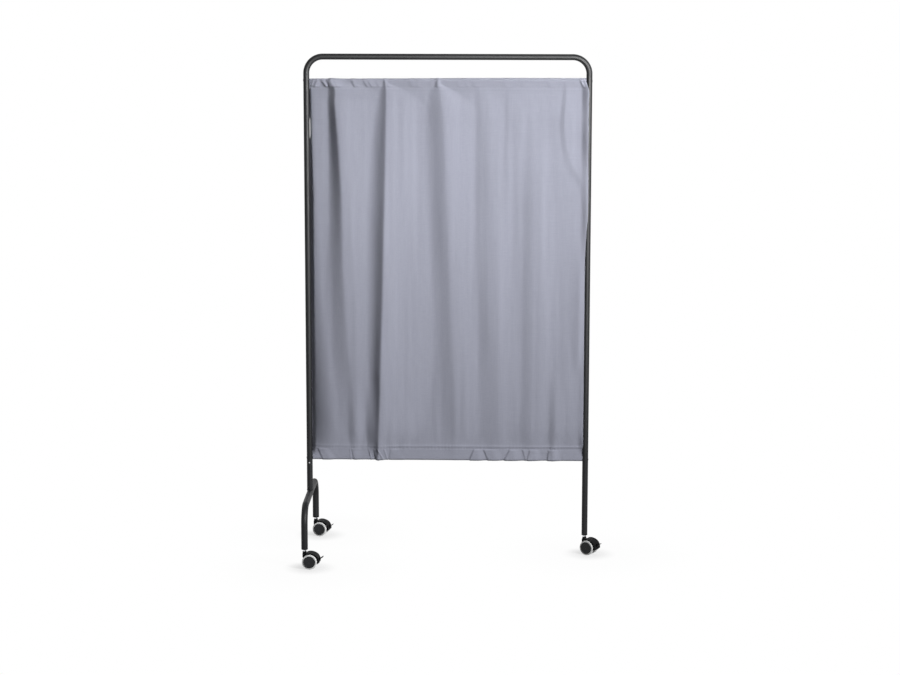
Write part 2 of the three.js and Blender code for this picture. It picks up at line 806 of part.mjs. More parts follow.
// The cap snaps into the hub's rim with a ring and covers the axle's end
function hubCap() {
  const ringOuter = rimInner - fitGap;
  const ringInner = ringOuter - capRingWall;
  const radius = capDiameter / 2;
  return revolve([
    [0, capUnder],
    [ringInner, capUnder],
    [ringInner, capUnder - capRingDepth],
    [ringOuter, capUnder - capRingDepth],
    [ringOuter, capUnder],
    [radius, capUnder],
    [radius, capOuter - capRecess],
    [radius - capRecess, capOuter],
    [radius - capRim, capOuter],
    [radius - capRim - capRecess, capOuter - capRecess],
    [0, capOuter - capRecess],
  ], wheelSides);
}

function wheel(prefix, turned) {
  const group = new THREE.Group();
  group.add(node(`${prefix}_tyre`, tyre(), greyTyre));
  group.add(node(`${prefix}_hub`, wheelHub(), hubPlastic));
  group.add(node(`${prefix}_cap`, hubCap(), hubPlastic));
  group.position.set(castorTrail, 0, axleHeight);
  group.rotation.z = turned ? Math.PI : 0;
  return group;
}

function castor(prefix, tube, bore, heading) {
  const group = new THREE.Group();
  group.add(node(`${prefix}_end_fitting`, endFitting(tube, bore), blackNylon));
  group.add(node(`${prefix}_stem`, castorStem(), brightSteel));
  group.add(node(`${prefix}_grip_ring`, gripRing(), springSteel));
  group.add(node(`${prefix}_hood`, castorHood(), blackNylon));
  group.add(node(`${prefix}_axle`, axlePin(), springSteel));
  group.add(node(`${prefix}_pedal_pin`, pedalPivotPin(), springSteel));
  group.add(node(`${prefix}_brake_pedal`, brakePedal(), blackNylon));
  group.add(wheel(`${prefix}_far`, false));
  group.add(wheel(`${prefix}_near`, true));
  group.rotation.z = radians(heading);
  return group;
}

// Assembly

const screen = new THREE.Group();
screen.add(node('frame_hoop', frameHoop(), powderCoat));
screen.add(node('foot_arch', footArch(), powderCoat));
screen.add(node('foot_screw_low', footScrew(footScrewHeights().low), powderCoat));
screen.add(node('foot_screw_high', footScrew(footScrewHeights().high), brightSteel));

for (const [place, height] of [['top', topRodHeight], ['bottom', bottomRodHeight]]) {
  screen.add(node(`${place}_rod`, curtainRod(height), brightSteel));
  for (const [hand, side] of [['left', -1], ['right', 1]]) {
    const bush = node(`${place}_${hand}_bush`, rodBush(), blackNylon);
    const screw = node(`${place}_${hand}_screw`, rodScrew(), powderCoat);
    for (const piece of [bush, screw]) piece.position.set(side * uprightX, 0, height);
    bush.rotation.z = (side * Math.PI) / 2;
    screw.rotation.z = (-side * Math.PI) / 2;
    screen.add(bush, screw);
  }
}
screen.add(node('curtain', curtain(), curtainCloth));

const places = [
  { prefix: 'front', x: -uprightX, y: -footSpread / 2, tube: footTube, bore: footBore, heading: frontHeading },
  { prefix: 'back', x: -uprightX, y: footSpread / 2, tube: footTube, bore: footBore, heading: backHeading },
  { prefix: 'right', x: uprightX, y: 0, tube: frameTube, bore: frameBore, heading: rightHeading },
];
for (const { prefix, x, y, tube, bore, heading } of places) {
  const group = castor(prefix, tube, bore, heading);
  group.position.set(x, y, 0);
  screen.add(group);
}

// The origin is on the floor, under the middle of the whole screen
screen.updateMatrixWorld(true);
const box = new THREE.Box3().setFromObject(screen, true);
const middle = box.getCenter(new THREE.Vector3());
screen.position.set(-middle.x, -middle.y, -box.min.z);

export default screen;
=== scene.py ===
# %% [markdown]
# # A ward privacy screen on wheels
# The screen stands beside a bed and hides it. An upside-down U of steel tube holds a cloth curtain on two
# thin rods. Its left upright stands on a foot tube, bent like a bridge, which rolls on two castors, and its
# right upright rolls on one castor.
#
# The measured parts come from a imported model, which stays where it is. This lesson builds the surfaces that
# one sees and touches round it: painted tube, moulded castors, bright studs and hanging cloth. Everything
# is in metres, Z is up, and the front of the screen looks along -Y.

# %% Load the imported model
import json
import math

import bmesh
import bpy
import numpy as np
from mathutils import Matrix, Vector


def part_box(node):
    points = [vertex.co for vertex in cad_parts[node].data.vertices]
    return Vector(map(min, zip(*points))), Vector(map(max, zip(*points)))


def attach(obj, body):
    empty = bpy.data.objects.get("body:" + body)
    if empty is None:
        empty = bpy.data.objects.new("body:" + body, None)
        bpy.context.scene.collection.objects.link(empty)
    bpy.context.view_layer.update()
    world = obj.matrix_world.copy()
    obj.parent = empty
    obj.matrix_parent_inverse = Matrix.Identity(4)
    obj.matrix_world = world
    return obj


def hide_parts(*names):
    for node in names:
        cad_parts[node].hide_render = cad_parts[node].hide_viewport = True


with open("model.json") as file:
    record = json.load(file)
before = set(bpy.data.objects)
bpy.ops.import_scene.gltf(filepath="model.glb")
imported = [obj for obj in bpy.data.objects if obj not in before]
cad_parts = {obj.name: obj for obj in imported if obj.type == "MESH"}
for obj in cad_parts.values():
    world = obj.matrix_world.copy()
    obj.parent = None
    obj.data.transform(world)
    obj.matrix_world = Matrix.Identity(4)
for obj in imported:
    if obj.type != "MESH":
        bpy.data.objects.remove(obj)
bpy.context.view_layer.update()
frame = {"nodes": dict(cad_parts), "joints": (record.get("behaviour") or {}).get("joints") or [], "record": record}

scene = bpy.context.scene
mm = 0.001

# %% [markdown]
# ## Camera
# The photograph was taken from eye height, nearly eight metres away, with a long lens, so the uprights look
# almost parallel. The camera stands where a fit to the tube ends and the castors puts it.

# %% Camera
camera_place = Vector((0.2076, -7.7942, 2.0744))
camera_pan = 0.0284  # radians to the left of straight ahead
camera_tilt = 0.1686  # radians below the horizon
camera_roll = 0.0011
focal_length = 93.6  # millimetres, behind a sensor of full width
sensor_width = 36

camera_data = bpy.data.cameras.new("photo_camera")
camera_data.sensor_width = sensor_width
camera_data.lens = focal_length
camera = bpy.data.objects.new("photo_camera", camera_data)
turn = Matrix.Rotation(camera_pan, 4, "Z") @ Matrix.Rotation(math.pi / 2 - camera_tilt, 4, "X")
camera.matrix_world = Matrix.Translation(camera_place) @ turn @ Matrix.Rotation(camera_roll, 4, "Z")
scene.collection.objects.link(camera)
scene.camera = camera
print("Camera at", [round(v, 3) for v in camera.location])

# %% [markdown]
# ## Shader nodes
# Every finish here is a small tree of shader nodes. One helper adds a node: values go to its sockets in
# order, and a name is either one of the node's settings or a socket, with an underscore for a space.

# %% A helper for shader nodes
def add(tree, kind, *values, **named):
    made = tree.nodes.new("ShaderNode" + kind)
    sockets = dict(enumerate(values))
    for name, value in named.items():
        if name in made.bl_rna.properties:
            setattr(made, name, value)
        else:
            sockets[name.replace("_", " ")] = value
    for name, value in sockets.items():
        if isinstance(value, bpy.types.NodeSocket):
            tree.links.new(value, made.inputs[name])
        else:
            made.inputs[name].default_value = value
    return made


def grey(level):
    return (level, level, level, 1.0)


def folded(tree, operation, values, **settings):
    """One value out of many, by a Math node between each and the next."""
    total = values[0]
    for value in values[1:]:
        total = add(tree, "Math", total, value, operation=operation, **settings).outputs[0]
    return total


def background_mask(tree):
    """1 for the rays that show the background: seen straight, in a reflection or through glass."""
    rays = add(tree, "LightPath").outputs
    shown = [rays[f"Is {kind} Ray"] for kind in ("Camera", "Glossy", "Transmission")]
    return folded(tree, "ADD", shown, use_clamp=True)


print("A mid grey:", grey(0.5))

# %% [markdown]
# ## Studio
# The photograph has a white surround and soft light that comes from above and from the front right. A
# raking lamp on the right draws the folds of the cloth, a panel beside it is aimed at the upper half and
# leaves the foot of the curtain darker, and the pale world fills the shadows. A low lamp behind keeps the
# back of the cloth in its own colour. The floor is plain and pale. Far from the screen it turns into the
# white of the surround, and near it keeps a faint shadow under the castors.
#
# A tall strip stands in front, a little to the right, as it would beside the camera in a studio. It is left
# out of diffuse light and only draws the highlight down the round tubes, brightest at the top.

# %% World and view
scene.view_settings.view_transform = "Standard"
fill_level = 0.135

world = bpy.data.worlds.new("studio_world")
world.use_nodes = True
world.node_tree.nodes.clear()
world_fill = add(world.node_tree, "Background", grey(1.0), fill_level)
world_white = add(world.node_tree, "Background", grey(1.0), 1.0)
world_mix = add(
    world.node_tree, "MixShader",
    background_mask(world.node_tree), world_fill.outputs[0], world_white.outputs[0],
)
add(world.node_tree, "OutputWorld", world_mix.outputs[0])
scene.world = world
print("Fill light:", fill_level)

# %% Floor
floor_radius = 9.0

floor_mesh = bpy.data.meshes.new("floor")
floor_work = bmesh.new()
bmesh.ops.create_circle(floor_work, cap_ends=True, radius=floor_radius, segments=96)
floor_work.to_mesh(floor_mesh)
floor_work.free()
floor = bpy.data.objects.new("floor", floor_mesh)
scene.collection.objects.link(floor)
print("Floor:", 2 * floor_radius, "m wide")

# %% The floor's finish
floor_pale = grey(0.86)
floor_speckled = grey(0.86 * 0.97)
floor_bounce = grey(0.22)  # what it gives back to the screen, less than its looks
speck_scale = 40.0
# (metres from a castor where the floor shows its own shading, and where it shows none of it, the share)
shadow_zones = [(0.02, 0.10, 0.34), (0.08, 0.40, 0.03)]
castor_places = [(-0.474, -0.222, 0.0), (-0.475, 0.220, 0.0), (0.463, -0.008, 0.0)]


def floor_finish():
    made = bpy.data.materials.new("pale_floor")
    made.use_nodes = True
    tree = made.node_tree
    tree.nodes.clear()
    place = add(tree, "TexCoord").outputs["Object"]
    away = [add(tree, "VectorMath", place, castor, operation="DISTANCE") for castor in castor_places]
    reach = folded(tree, "MINIMUM", [node.outputs["Value"] for node in away])
    white = folded(tree, "MULTIPLY", [
        add(tree, "MapRange", reach, near, far, 1 - share, 1.0, interpolation_type="SMOOTHSTEP").outputs[0]
        for near, far, share in shadow_zones])
    mask = folded(tree, "MULTIPLY", [white, background_mask(tree)])
    speck = add(tree, "TexNoise", Vector=place, Scale=speck_scale, Detail=3.0).outputs["Fac"]
    tone = add(tree, "MixRGB", speck, floor_pale, floor_speckled).outputs[0]
    seen = add(tree, "MixRGB", background_mask(tree), floor_bounce, tone).outputs[0]
    lit = add(tree, "BsdfDiffuse", seen).outputs[0]
    plain = add(tree, "Emission", grey(1.0), 1.0).outputs[0]
    mix = add(tree, "MixShader", mask, lit, plain).outputs[0]
    add(tree, "OutputMaterial", mix)
    return made


floor_mesh.materials.append(floor_finish())
print("The floor shades itself within", max(zone[1] for zone in shadow_zones), "m of a castor")

# %% Lamps
screen_middle = Vector((0.0, 0.0, 0.95))


def lamp(name, kind, place, target, energy, **settings):
    data = bpy.data.lights.new(name, kind)
    data.energy = energy
    for setting, value in settings.items():
        setattr(data, setting, value)
    made = bpy.data.objects.new(name, data)
    made.visible_camera = False
    made.location = place
    made.rotation_euler = (Vector(target) - Vector(place)).to_track_quat("-Z", "Y").to_euler()
    scene.collection.objects.link(made)
    return made


lamp("raking_lamp", "SUN", (5.1, -3.2, 3.8), screen_middle, 1.4, angle=math.radians(12))
lamp("side_panel", "AREA", (1.98, -1.85, 1.84), (-0.22, 0.0, 1.45), 24.0, shape="RECTANGLE",
     size=0.9, size_y=0.6, spread=math.radians(90))
back_lamp = lamp("back_lamp", "SUN", (0.6, 6.0, 1.9), screen_middle, 1.6, angle=math.radians(30))
back_lamp.visible_glossy = False
highlight = lamp("highlight_strip", "AREA", (1.02, -2.45, 1.8), (0.0, 0.0, 1.8), 85.0,
                 shape="RECTANGLE", size=0.9, size_y=1.4, spread=math.radians(80))
highlight.visible_diffuse = False

# %% [markdown]
# ## Finishes
# A finish starts from the principled shader. Its even numbers, such as roughness, sit on the shader itself,
# and nodes only carry what varies from place to place: specks, brush marks, the weave. The nodes read the
# piece's own coordinates, in metres, so a scale of 1000 makes details a millimetre wide.

# %% Making a finish
finishes = {}


def new_finish(name, slot, **sockets):
    made = bpy.data.materials.new(name)
    made.use_nodes = True
    shader = made.node_tree.nodes["Principled BSDF"]
    for key, value in sockets.items():
        shader.inputs[key.replace("_", " ")].default_value = value
    finishes[slot] = made
    place = add(made.node_tree, "TexCoord").outputs["Object"]
    return made.node_tree, shader, place


def ramp(tree, value, *stops):
    """A value turned into a colour by stops of (position, colour)."""
    made = add(tree, "ValToRGB", value)
    elements = made.color_ramp.elements
    for element, (position, shade) in zip(elements, (stops[0], stops[-1])):
        element.position = position
        element.color = shade
    for position, shade in stops[1:-1]:
        elements.new(position).color = shade
    return made.outputs["Color"]


def tint(tree, shader, value, *stops):
    """Lets a value choose the base colour."""
    tree.links.new(ramp(tree, value, *stops), shader.inputs["Base Color"])


def dull(tree, shader, value, low, high, smooth, rough):
    """Lets a value choose the roughness, smooth where it is low and rough where it is high."""
    blur = add(tree, "MapRange", value, low, high, smooth, rough).outputs[0]
    tree.links.new(blur, shader.inputs["Roughness"])


def relief(tree, shader, height, strength, distance):
    bump = add(tree, "Bump", Strength=strength, Distance=distance, Height=height)
    tree.links.new(bump.outputs[0], shader.inputs["Normal"])


def colour(red, green, blue):
    """A colour given as it looks on a screen, turned into the linear one that shaders use."""
    def linear(c):
        return c / 12.92 if c <= 0.04045 else ((c + 0.055) / 1.055) ** 2.4
    return (linear(red / 255), linear(green / 255), linear(blue / 255), 1.0)


print("A screen grey of 128 is", round(colour(128, 128, 128)[0], 3), "as a linear one")

# %% [markdown]
# ### Painted tube
# Powder coat is sprayed on as dust and baked, which leaves a fine orange peel a millimetre or so wide. Two
# noises give it: one for the peel and one for slow changes of tone. A third dulls it here and there as
# hands do.

# %% Painted tube
def painted_tube():
    tree, shader, place = new_finish("painted_tube", "frame_paint", IOR=1.38, Specular_IOR_Level=0.3)
    peel = add(tree, "TexNoise", Vector=place, Scale=620.0, Detail=2.0, Roughness=0.5).outputs["Fac"]
    cloud = add(tree, "TexNoise", Vector=place, Scale=5.0, Detail=4.0).outputs["Fac"]
    tint(tree, shader, cloud, (0.35, colour(16, 17, 19)), (0.7, colour(24, 25, 27)))
    handled = add(tree, "TexNoise", Vector=place, Scale=14.0, Detail=5.0, Distortion=0.6).outputs["Fac"]
    dull(tree, shader, handled, 0.3, 0.75, 0.47, 0.60)
    relief(tree, shader, peel, 0.25, 0.00012)


painted_tube()
print("Finish:", finishes["frame_paint"].name)

# %% [markdown]
# ### Moulded nylon
# The castors are moulded in black nylon. The mould is etched to a fine grain, which breaks the gloss up.
# The caps and hubs are a shade lighter and smoother, and a slow noise varies the tone and roughness of both a
# little.

# %% Moulded nylon
grain_size = 0.00045


def moulded_nylon(name, slot, dark, light, rough, gloss):
    tree, shader, place = new_finish(name, slot, IOR=1.5, Specular_IOR_Level=gloss)
    grain = add(tree, "TexVoronoi", Vector=place, Scale=1 / grain_size).outputs["Distance"]
    cloud = add(tree, "TexNoise", Vector=place, Scale=70.0, Detail=4.0).outputs["Fac"]
    tint(tree, shader, cloud, (0.3, dark), (0.75, light))
    dull(tree, shader, cloud, 0.3, 0.7, rough - 0.08, rough + 0.1)
    relief(tree, shader, grain, 0.22, 0.00006)


moulded_nylon("etched_nylon", "black_nylon", colour(5, 6, 7), colour(12, 13, 15), 0.56, 0.06)
moulded_nylon("hub_nylon", "hub_plastic", colour(33, 34, 36), colour(41, 42, 44), 0.46, 0.2)
print("Finishes:", finishes["black_nylon"].name, finishes["hub_plastic"].name)

# %% [markdown]
# ### Tread
# The tyres are a soft light grey rubber that leaves no marks on a ward floor. They pick up a little dirt,
# so their tone has small darker smudges, and their skin is matt.

# %% Tread
def soft_tread():
    tree, shader, place = new_finish("soft_tread", "grey_tyre", Roughness=0.62, IOR=1.45)
    smudge = add(tree, "TexNoise", Vector=place, Scale=160.0, Detail=6.0, Roughness=0.7).outputs["Fac"]
    tint(tree, shader, smudge, (0.2, colour(226, 226, 224)), (0.45, colour(242, 243, 242)),
         (0.8, colour(248, 249, 249)))
    pores = add(tree, "TexNoise", Vector=place, Scale=1800.0, Detail=2.0).outputs["Fac"]
    relief(tree, shader, pores, 0.2, 0.00008)


soft_tread()
print("Finish:", finishes["grey_tyre"].name)

# %% [markdown]
# ### Bright and drawn steel
# The castor stems are zinc plated and bright, with a light haze. The springs and pins are drawn wire, whose
# fine scratches run along them, made by a noise that is squeezed in one direction.

# %% Steel
def plated_steel():
    tree, shader, place = new_finish("plated_steel", "bright_steel", Metallic=1.0)
    haze = add(tree, "TexNoise", Vector=place, Scale=240.0, Detail=5.0).outputs["Fac"]
    tint(tree, shader, haze, (0.3, colour(196, 198, 201)), (0.7, colour(226, 227, 229)))
    dull(tree, shader, haze, 0.3, 0.7, 0.16, 0.3)
    relief(tree, shader, haze, 0.08, 0.00005)


def drawn_steel():
    tree, shader, place = new_finish("drawn_steel", "spring_steel", Metallic=1.0)
    stretched = add(tree, "Mapping", place, Scale=(2600.0, 300.0, 2600.0)).outputs[0]
    scratch = add(tree, "TexNoise", Vector=stretched, Scale=1.0, Detail=3.0).outputs["Fac"]
    tint(tree, shader, scratch, (0.3, colour(128, 130, 134)), (0.7, colour(160, 162, 166)))
    dull(tree, shader, scratch, 0.3, 0.7, 0.28, 0.45)
    relief(tree, shader, scratch, 0.15, 0.00004)


plated_steel()
drawn_steel()
print("Finishes:", finishes["bright_steel"].name, finishes["spring_steel"].name)

# %% [markdown]
# ### Curtain cloth
# The curtain is a plain weave of lilac grey polyester. Two trains of waves, one for the threads that run
# across and one for those that run down, add up to the weave. Real yarn is never even, so two noises that
# are drawn out along the threads thicken some of them and shift their tone. A little sheen lightens the
# cloth where it turns away. The colour of the lower casing, where two layers lie together, is a touch
# darker: this is painted shade, standing in for the light that the two layers let through less.

# %% Curtain cloth
thread_pitch = 0.0007
# painted shade: the colour of the lower casing, where two layers lie together, is multiplied by this
casing_painted_shade = 0.96
casing_top, panel_foot = 0.362, 0.364  # heights between which the painted shade of the lower casing ends
wave_factor = 0.314  # the wave texture's scale times its wavelength
yarn_scales = [(900.0, 900.0, 14.0), (14.0, 900.0, 900.0)]  # thin across a thread and long along it


def woven_cloth(name, slot, dark, light, fuzz):
    tree, shader, place = new_finish(name, slot, Roughness=0.86, IOR=1.4, Specular_IOR_Level=0.05,
                                     Sheen_Weight=fuzz, Sheen_Roughness=0.5)
    heights = []
    for direction in ("X", "Z"):
        heights.append(add(
            tree, "TexWave", Vector=place, Scale=wave_factor / thread_pitch, Distortion=0.4,
            Detail=1.0, bands_direction=direction,
        ).outputs["Fac"])
    weave = folded(tree, "ADD", heights)
    yarns = []
    for scale in yarn_scales:
        drawn_out = add(tree, "Mapping", place, Scale=scale).outputs[0]
        yarns.append(add(tree, "TexNoise", Vector=drawn_out, Scale=1.0, Detail=2.0).outputs["Fac"])
    uneven = folded(tree, "ADD", yarns)
    tone = ramp(tree, folded(tree, "MULTIPLY", [uneven, 0.5]), (0.28, dark), (0.72, light))
    height = add(tree, "SeparateXYZ", place).outputs["Z"]
    # painted shade: 1 on the lower casing and 0 above its seam, where the colour is darkened
    casing_shade_mask = add(tree, "MapRange", height, casing_top, panel_foot, 1.0, 0.0).outputs[0]
    shaded_tone = add(tree, "MixRGB", 1.0, tone, grey(casing_painted_shade), blend_type="MULTIPLY").outputs[0]
    tone_with_shade = add(tree, "MixRGB", casing_shade_mask, tone, shaded_tone).outputs[0]
    tree.links.new(tone_with_shade, shader.inputs["Base Color"])
    relief(tree, shader, folded(tree, "ADD", [weave, uneven]), 0.3, 0.00014)


woven_cloth("curtain_cloth", "curtain_fabric", colour(151, 153, 167), colour(160, 162, 176), 0.15)
print("Slots with a finish:", sorted(finishes))

# %% [markdown]
# ## Meshes from grids of points
# Nearly every surface here is a grid of points: rings along a bent tube, a turned profile, the rows and
# columns of the cloth. One helper joins the neighbours in a grid with faces. Points that fall together,
# such as a ring that has shrunk to the axis, are welded, and the faces are turned outwards.

# %% Grids and welding
weld_distance = 1e-5  # of the mesh's unit, metres or millimetres
sharp_angle = math.radians(38)


def tidy(mesh, angle=sharp_angle):
    work = bmesh.new()
    work.from_mesh(mesh)
    bmesh.ops.remove_doubles(work, verts=work.verts, dist=weld_distance)
    bmesh.ops.recalc_face_normals(work, faces=work.faces)
    work.to_mesh(mesh)
    work.free()
    mesh.polygons.foreach_set("use_smooth", [True] * len(mesh.polygons))
    mesh.set_sharp_from_angle(angle=angle)
    return mesh


def grid_faces(number, close_rows=False, close_columns=False, caps=False):
    """Faces between neighbours in rows and columns of point numbers. Caps close the first and last row."""
    upper = number if close_rows else number[:-1]
    lower = np.roll(number, -1, axis=0) if close_rows else number[1:]
    right_of = [np.roll(block, -1, axis=1) for block in (upper, lower)]
    faces = np.stack([upper, right_of[0], right_of[1], lower], axis=-1)
    if not close_columns:
        faces = faces[:, :-1]
    polygons = faces.reshape(-1, 4).tolist()
    if caps:
        polygons += [number[0].tolist(), number[-1].tolist()]
    return polygons


def skin(name, grid, **closing):
    """A mesh over rows and columns of points, closed the way that grid_faces is told."""
    grid = np.asarray(grid, float)
    rows, columns = grid.shape[:2]
    number = np.arange(rows * columns).reshape(rows, columns)
    mesh = bpy.data.meshes.new(name)
    mesh.from_pydata(grid.reshape(-1, 3).tolist(), [], grid_faces(number, **closing))
    return tidy(mesh)


print("Faces of a grid of 3 by 4 points:", len(grid_faces(np.arange(12).reshape(3, 4))))

# %% [markdown]
# Moulded and turned parts have no knife edges. This helper rounds the corners of a profile with a small
# curve, which catches the light the way a real edge does.

# %% Rounded profiles
corner_share = 0.45  # of a short edge, the most that one corner takes


def rounded(profile, radius, steps=3, closed=False):
    points = [Vector(p) for p in profile]
    count = len(points)
    result = []
    for i, corner in enumerate(points):
        if not closed and i in (0, count - 1):
            result.append(corner)
            continue
        before, after = points[i - 1], points[(i + 1) % count]
        ends = []
        for neighbour in (before, after):
            side = neighbour - corner
            ends.append(corner + side.normalized() * min(radius, side.length * corner_share))
        start, end = ends
        for step in range(steps + 1):
            t = step / steps
            result.append(start * (1 - t) ** 2 + corner * 2 * t * (1 - t) + end * t ** 2)
    return result


def turned(name, profile, sides=48, closed=True):
    """A body of revolution about Z from points of (radius, height)."""
    angles = np.linspace(0, 2 * math.pi, sides, endpoint=False)
    grid = [[(r * math.cos(a), r * math.sin(a), h) for a in angles] for r, h in profile]
    return skin(name, grid, close_rows=closed, close_columns=True)


print("Points of a rounded square:", len(rounded([(0, 0), (1, 0), (1, 1), (0, 1)], 0.1, closed=True)))

# %% [markdown]
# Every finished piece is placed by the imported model: it rides on one of its bodies, takes its finish from
# one of its material slots, and stands for the plain solids that it covers.

# %% Placing a piece
def place_piece(name, mesh, body, slot, *nodes, place=None):
    made = bpy.data.objects.new(name, mesh)
    scene.collection.objects.link(made)
    if place is not None:
        made.matrix_world = place
    mesh.materials.clear()
    mesh.materials.append(finishes[slot])
    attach(made, body)
    if nodes:
        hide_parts(*nodes)
    return made


def joint(name):
    return next(j for j in frame["joints"] if j["name"] == name)


# %% [markdown]
# ## Frame tube
# The frame is one 20 mm tube with two bends. A tube is swept by carrying a ring of points along its centre
# line, and both its outer skin and its bore are swept, so it is a real tube with open ends. The lower end
# of the left upright is cut to a saddle that sits on the foot's crown, which the sweep makes by sliding
# each point of its first ring down to the foot.

# %% Sizes of the tubes
hoop_low, hoop_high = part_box("frame_hoop")
arch_low, arch_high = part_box("foot_arch")
frame_tube = 0.020
foot_tube = 0.022
tube_wall = 0.0015
frame_bend = 0.055
foot_bend = 0.060
foot_height = 0.216
seat_gap = 0.0003
screen_y = (hoop_low.y + hoop_high.y) / 2
left_x = hoop_low.x + frame_tube / 2
right_x = hoop_high.x - frame_tube / 2
uprights = (("left", -1, left_x), ("right", 1, right_x))  # the hand, its side along X and the axis
rail_z = hoop_high.z - frame_tube / 2
crown_z = foot_height - foot_tube / 2
leg_end = hoop_low.z
foot_front = arch_low.y + foot_tube / 2
foot_back = arch_high.y - foot_tube / 2
print("Uprights at x", round(left_x, 4), round(right_x, 4), "rail at z", round(rail_z, 4))

# %% Sweeping a tube
def bent_path(corners, bend, steps):
    """Points and headings along straight runs that are joined by right-angled bends."""
    points = [corners[0]]
    headings = [(corners[1] - corners[0]).normalized()]
    for before, corner, after in zip(corners, corners[1:], corners[2:]):
        into = (corner - before).normalized()
        out = (after - corner).normalized()
        centre = corner - into * bend + out * bend
        for step in range(steps + 1):
            angle = math.pi / 2 * step / steps
            points.append(centre - out * bend * math.cos(angle) + into * bend * math.sin(angle))
            headings.append(into * math.cos(angle) + out * math.sin(angle))
    points.append(corners[-1])
    headings.append(headings[-1])
    return points, headings


def rings(points, headings, across, radius, sides):
    """A ring of points round each point of a flat path. Across is square to the path's plane."""
    angles = np.linspace(0, 2 * math.pi, sides, endpoint=False)
    grid = []
    for point, heading in zip(points, headings):
        beside = heading.cross(across)
        grid.append([point + (beside * math.cos(a) + across * math.sin(a)) * radius for a in angles])
    return grid


def swept_tube(corners, bend, across, tube, lip=0.0004, steps=28, sides=56):
    """The outer rings and the bore's rings of a bent tube, with a small round at both ends."""
    points, headings = bent_path([Vector(c) for c in corners], bend, steps)
    inset_points = [points[0] + headings[0] * lip] + points[1:-1] + [points[-1] - headings[-1] * lip]
    outer = rings(inset_points, headings, across, tube / 2, sides)
    ends = [rings([points[i]], [headings[i]], across, tube / 2 - lip, sides)[0] for i in (0, -1)]
    bore = rings(points, headings, across, tube / 2 - tube_wall, sides)
    return [ends[0]] + outer + [ends[1]] + bore[::-1]


print("A ring of four:", [[round(v, 2) for v in p] for p in rings(
    [Vector()], [Vector((0, 0, 1))], Vector((0, 1, 0)), 1.0, 4)[0]])

# %% Frame tube
def saddle_cut(grid, axis_y, axis_z, radius):
    """Slides the points that lie below the foot's skin up to it."""
    for ring in grid:
        for point in ring:
            beside = point.y - axis_y
            if abs(beside) < radius and point.x < 0:
                point.z = max(point.z, axis_z + math.sqrt(radius ** 2 - beside ** 2))
    return grid


hoop_grid = swept_tube(
    [(left_x, screen_y, crown_z), (left_x, screen_y, rail_z),
     (right_x, screen_y, rail_z), (right_x, screen_y, leg_end)],
    frame_bend, Vector((0, 1, 0)), frame_tube,
)
saddle_cut(hoop_grid, screen_y, crown_z, foot_tube / 2 + seat_gap)
place_piece("frame_tube", skin("frame_tube", hoop_grid, close_rows=True, close_columns=True),
            "frame", "frame_paint", "frame_hoop")
print("Frame tube:", len(hoop_grid), "rings of", len(hoop_grid[0]), "points")

# %% [markdown]
# ## Foot
# The foot is a 22 mm tube bent like a bridge. A spigot is welded on its crown, the frame's left upright
# slides over it, and two screws hold them together. A thin bead of weld runs round the spigot's root, and
# it shows as a soft line under the upright.

# %% Foot tube
foot_grid = swept_tube(
    [(left_x, foot_front, leg_end), (left_x, foot_front, crown_z),
     (left_x, foot_back, crown_z), (left_x, foot_back, leg_end)],
    foot_bend, Vector((1, 0, 0)), foot_tube,
)
foot_mesh = skin("foot_tube", foot_grid, close_rows=True, close_columns=True)
place_piece("foot_tube", foot_mesh, "frame", "frame_paint", "foot_arch")
print("Foot from y", round(foot_front, 4), "to", round(foot_back, 4))

# %% Spigot and weld
spigot_radius = 0.0079
spigot_wall = 0.0015
spigot_top = arch_high.z
bead_radius = 0.0011
bead_inset = 0.3  # the share of its radius by which the bead sinks into the upright
bead_steps, bead_sides = 72, 10


def weld_bead():
    """A lumpy ring that follows the crown round the foot of the upright."""
    reach = frame_tube / 2 - bead_radius * bead_inset
    crown = foot_tube / 2
    sides = [2 * math.pi * k / bead_sides for k in range(bead_sides)]
    grid = []
    for i in range(bead_steps):
        angle = 2 * math.pi * i / bead_steps
        out = Vector((math.cos(angle), math.sin(angle), 0))
        size = bead_radius * (1 + 0.16 * math.sin(i * 2.6) + 0.08 * math.sin(i * 1.1))
        rise = math.sqrt(crown ** 2 - (reach * out.y) ** 2)
        centre = Vector((left_x, screen_y, crown_z + rise)) + out * reach
        grid.append([centre + (out * math.cos(a) + Vector((0, 0, math.sin(a)))) * size for a in sides])
    return skin("weld_bead", grid, close_rows=True, close_columns=True)


spigot_profile = [
    (spigot_radius - spigot_wall, foot_height - tube_wall), (spigot_radius, foot_height - tube_wall),
    (spigot_radius, spigot_top), (spigot_radius - spigot_wall, spigot_top),
]
spigot_mesh = turned("foot_spigot", rounded(spigot_profile, 0.0004, closed=True), 40)
spigot_mesh.transform(Matrix.Translation((left_x, screen_y, 0)))
place_piece("foot_spigot", spigot_mesh, "frame", "frame_paint")
place_piece("foot_weld", weld_bead(), "frame", "frame_paint")
print("Spigot up to z", round(spigot_top, 4))

# %% [markdown]
# ## Screws
# The foot is held by button-head screws with a six-sided socket, and the rods by flatter ones that hardly
# stand out from the uprights. The head is a grid of rings: the outer ones are round, the inner ones take
# the outline of a hexagon and drop into the socket.

# %% Button-head screws
screw_sides = 48


def hexagon(angle, across_corners):
    return across_corners * math.cos(math.pi / 6) / math.cos((angle % (math.pi / 3)) - math.pi / 6)


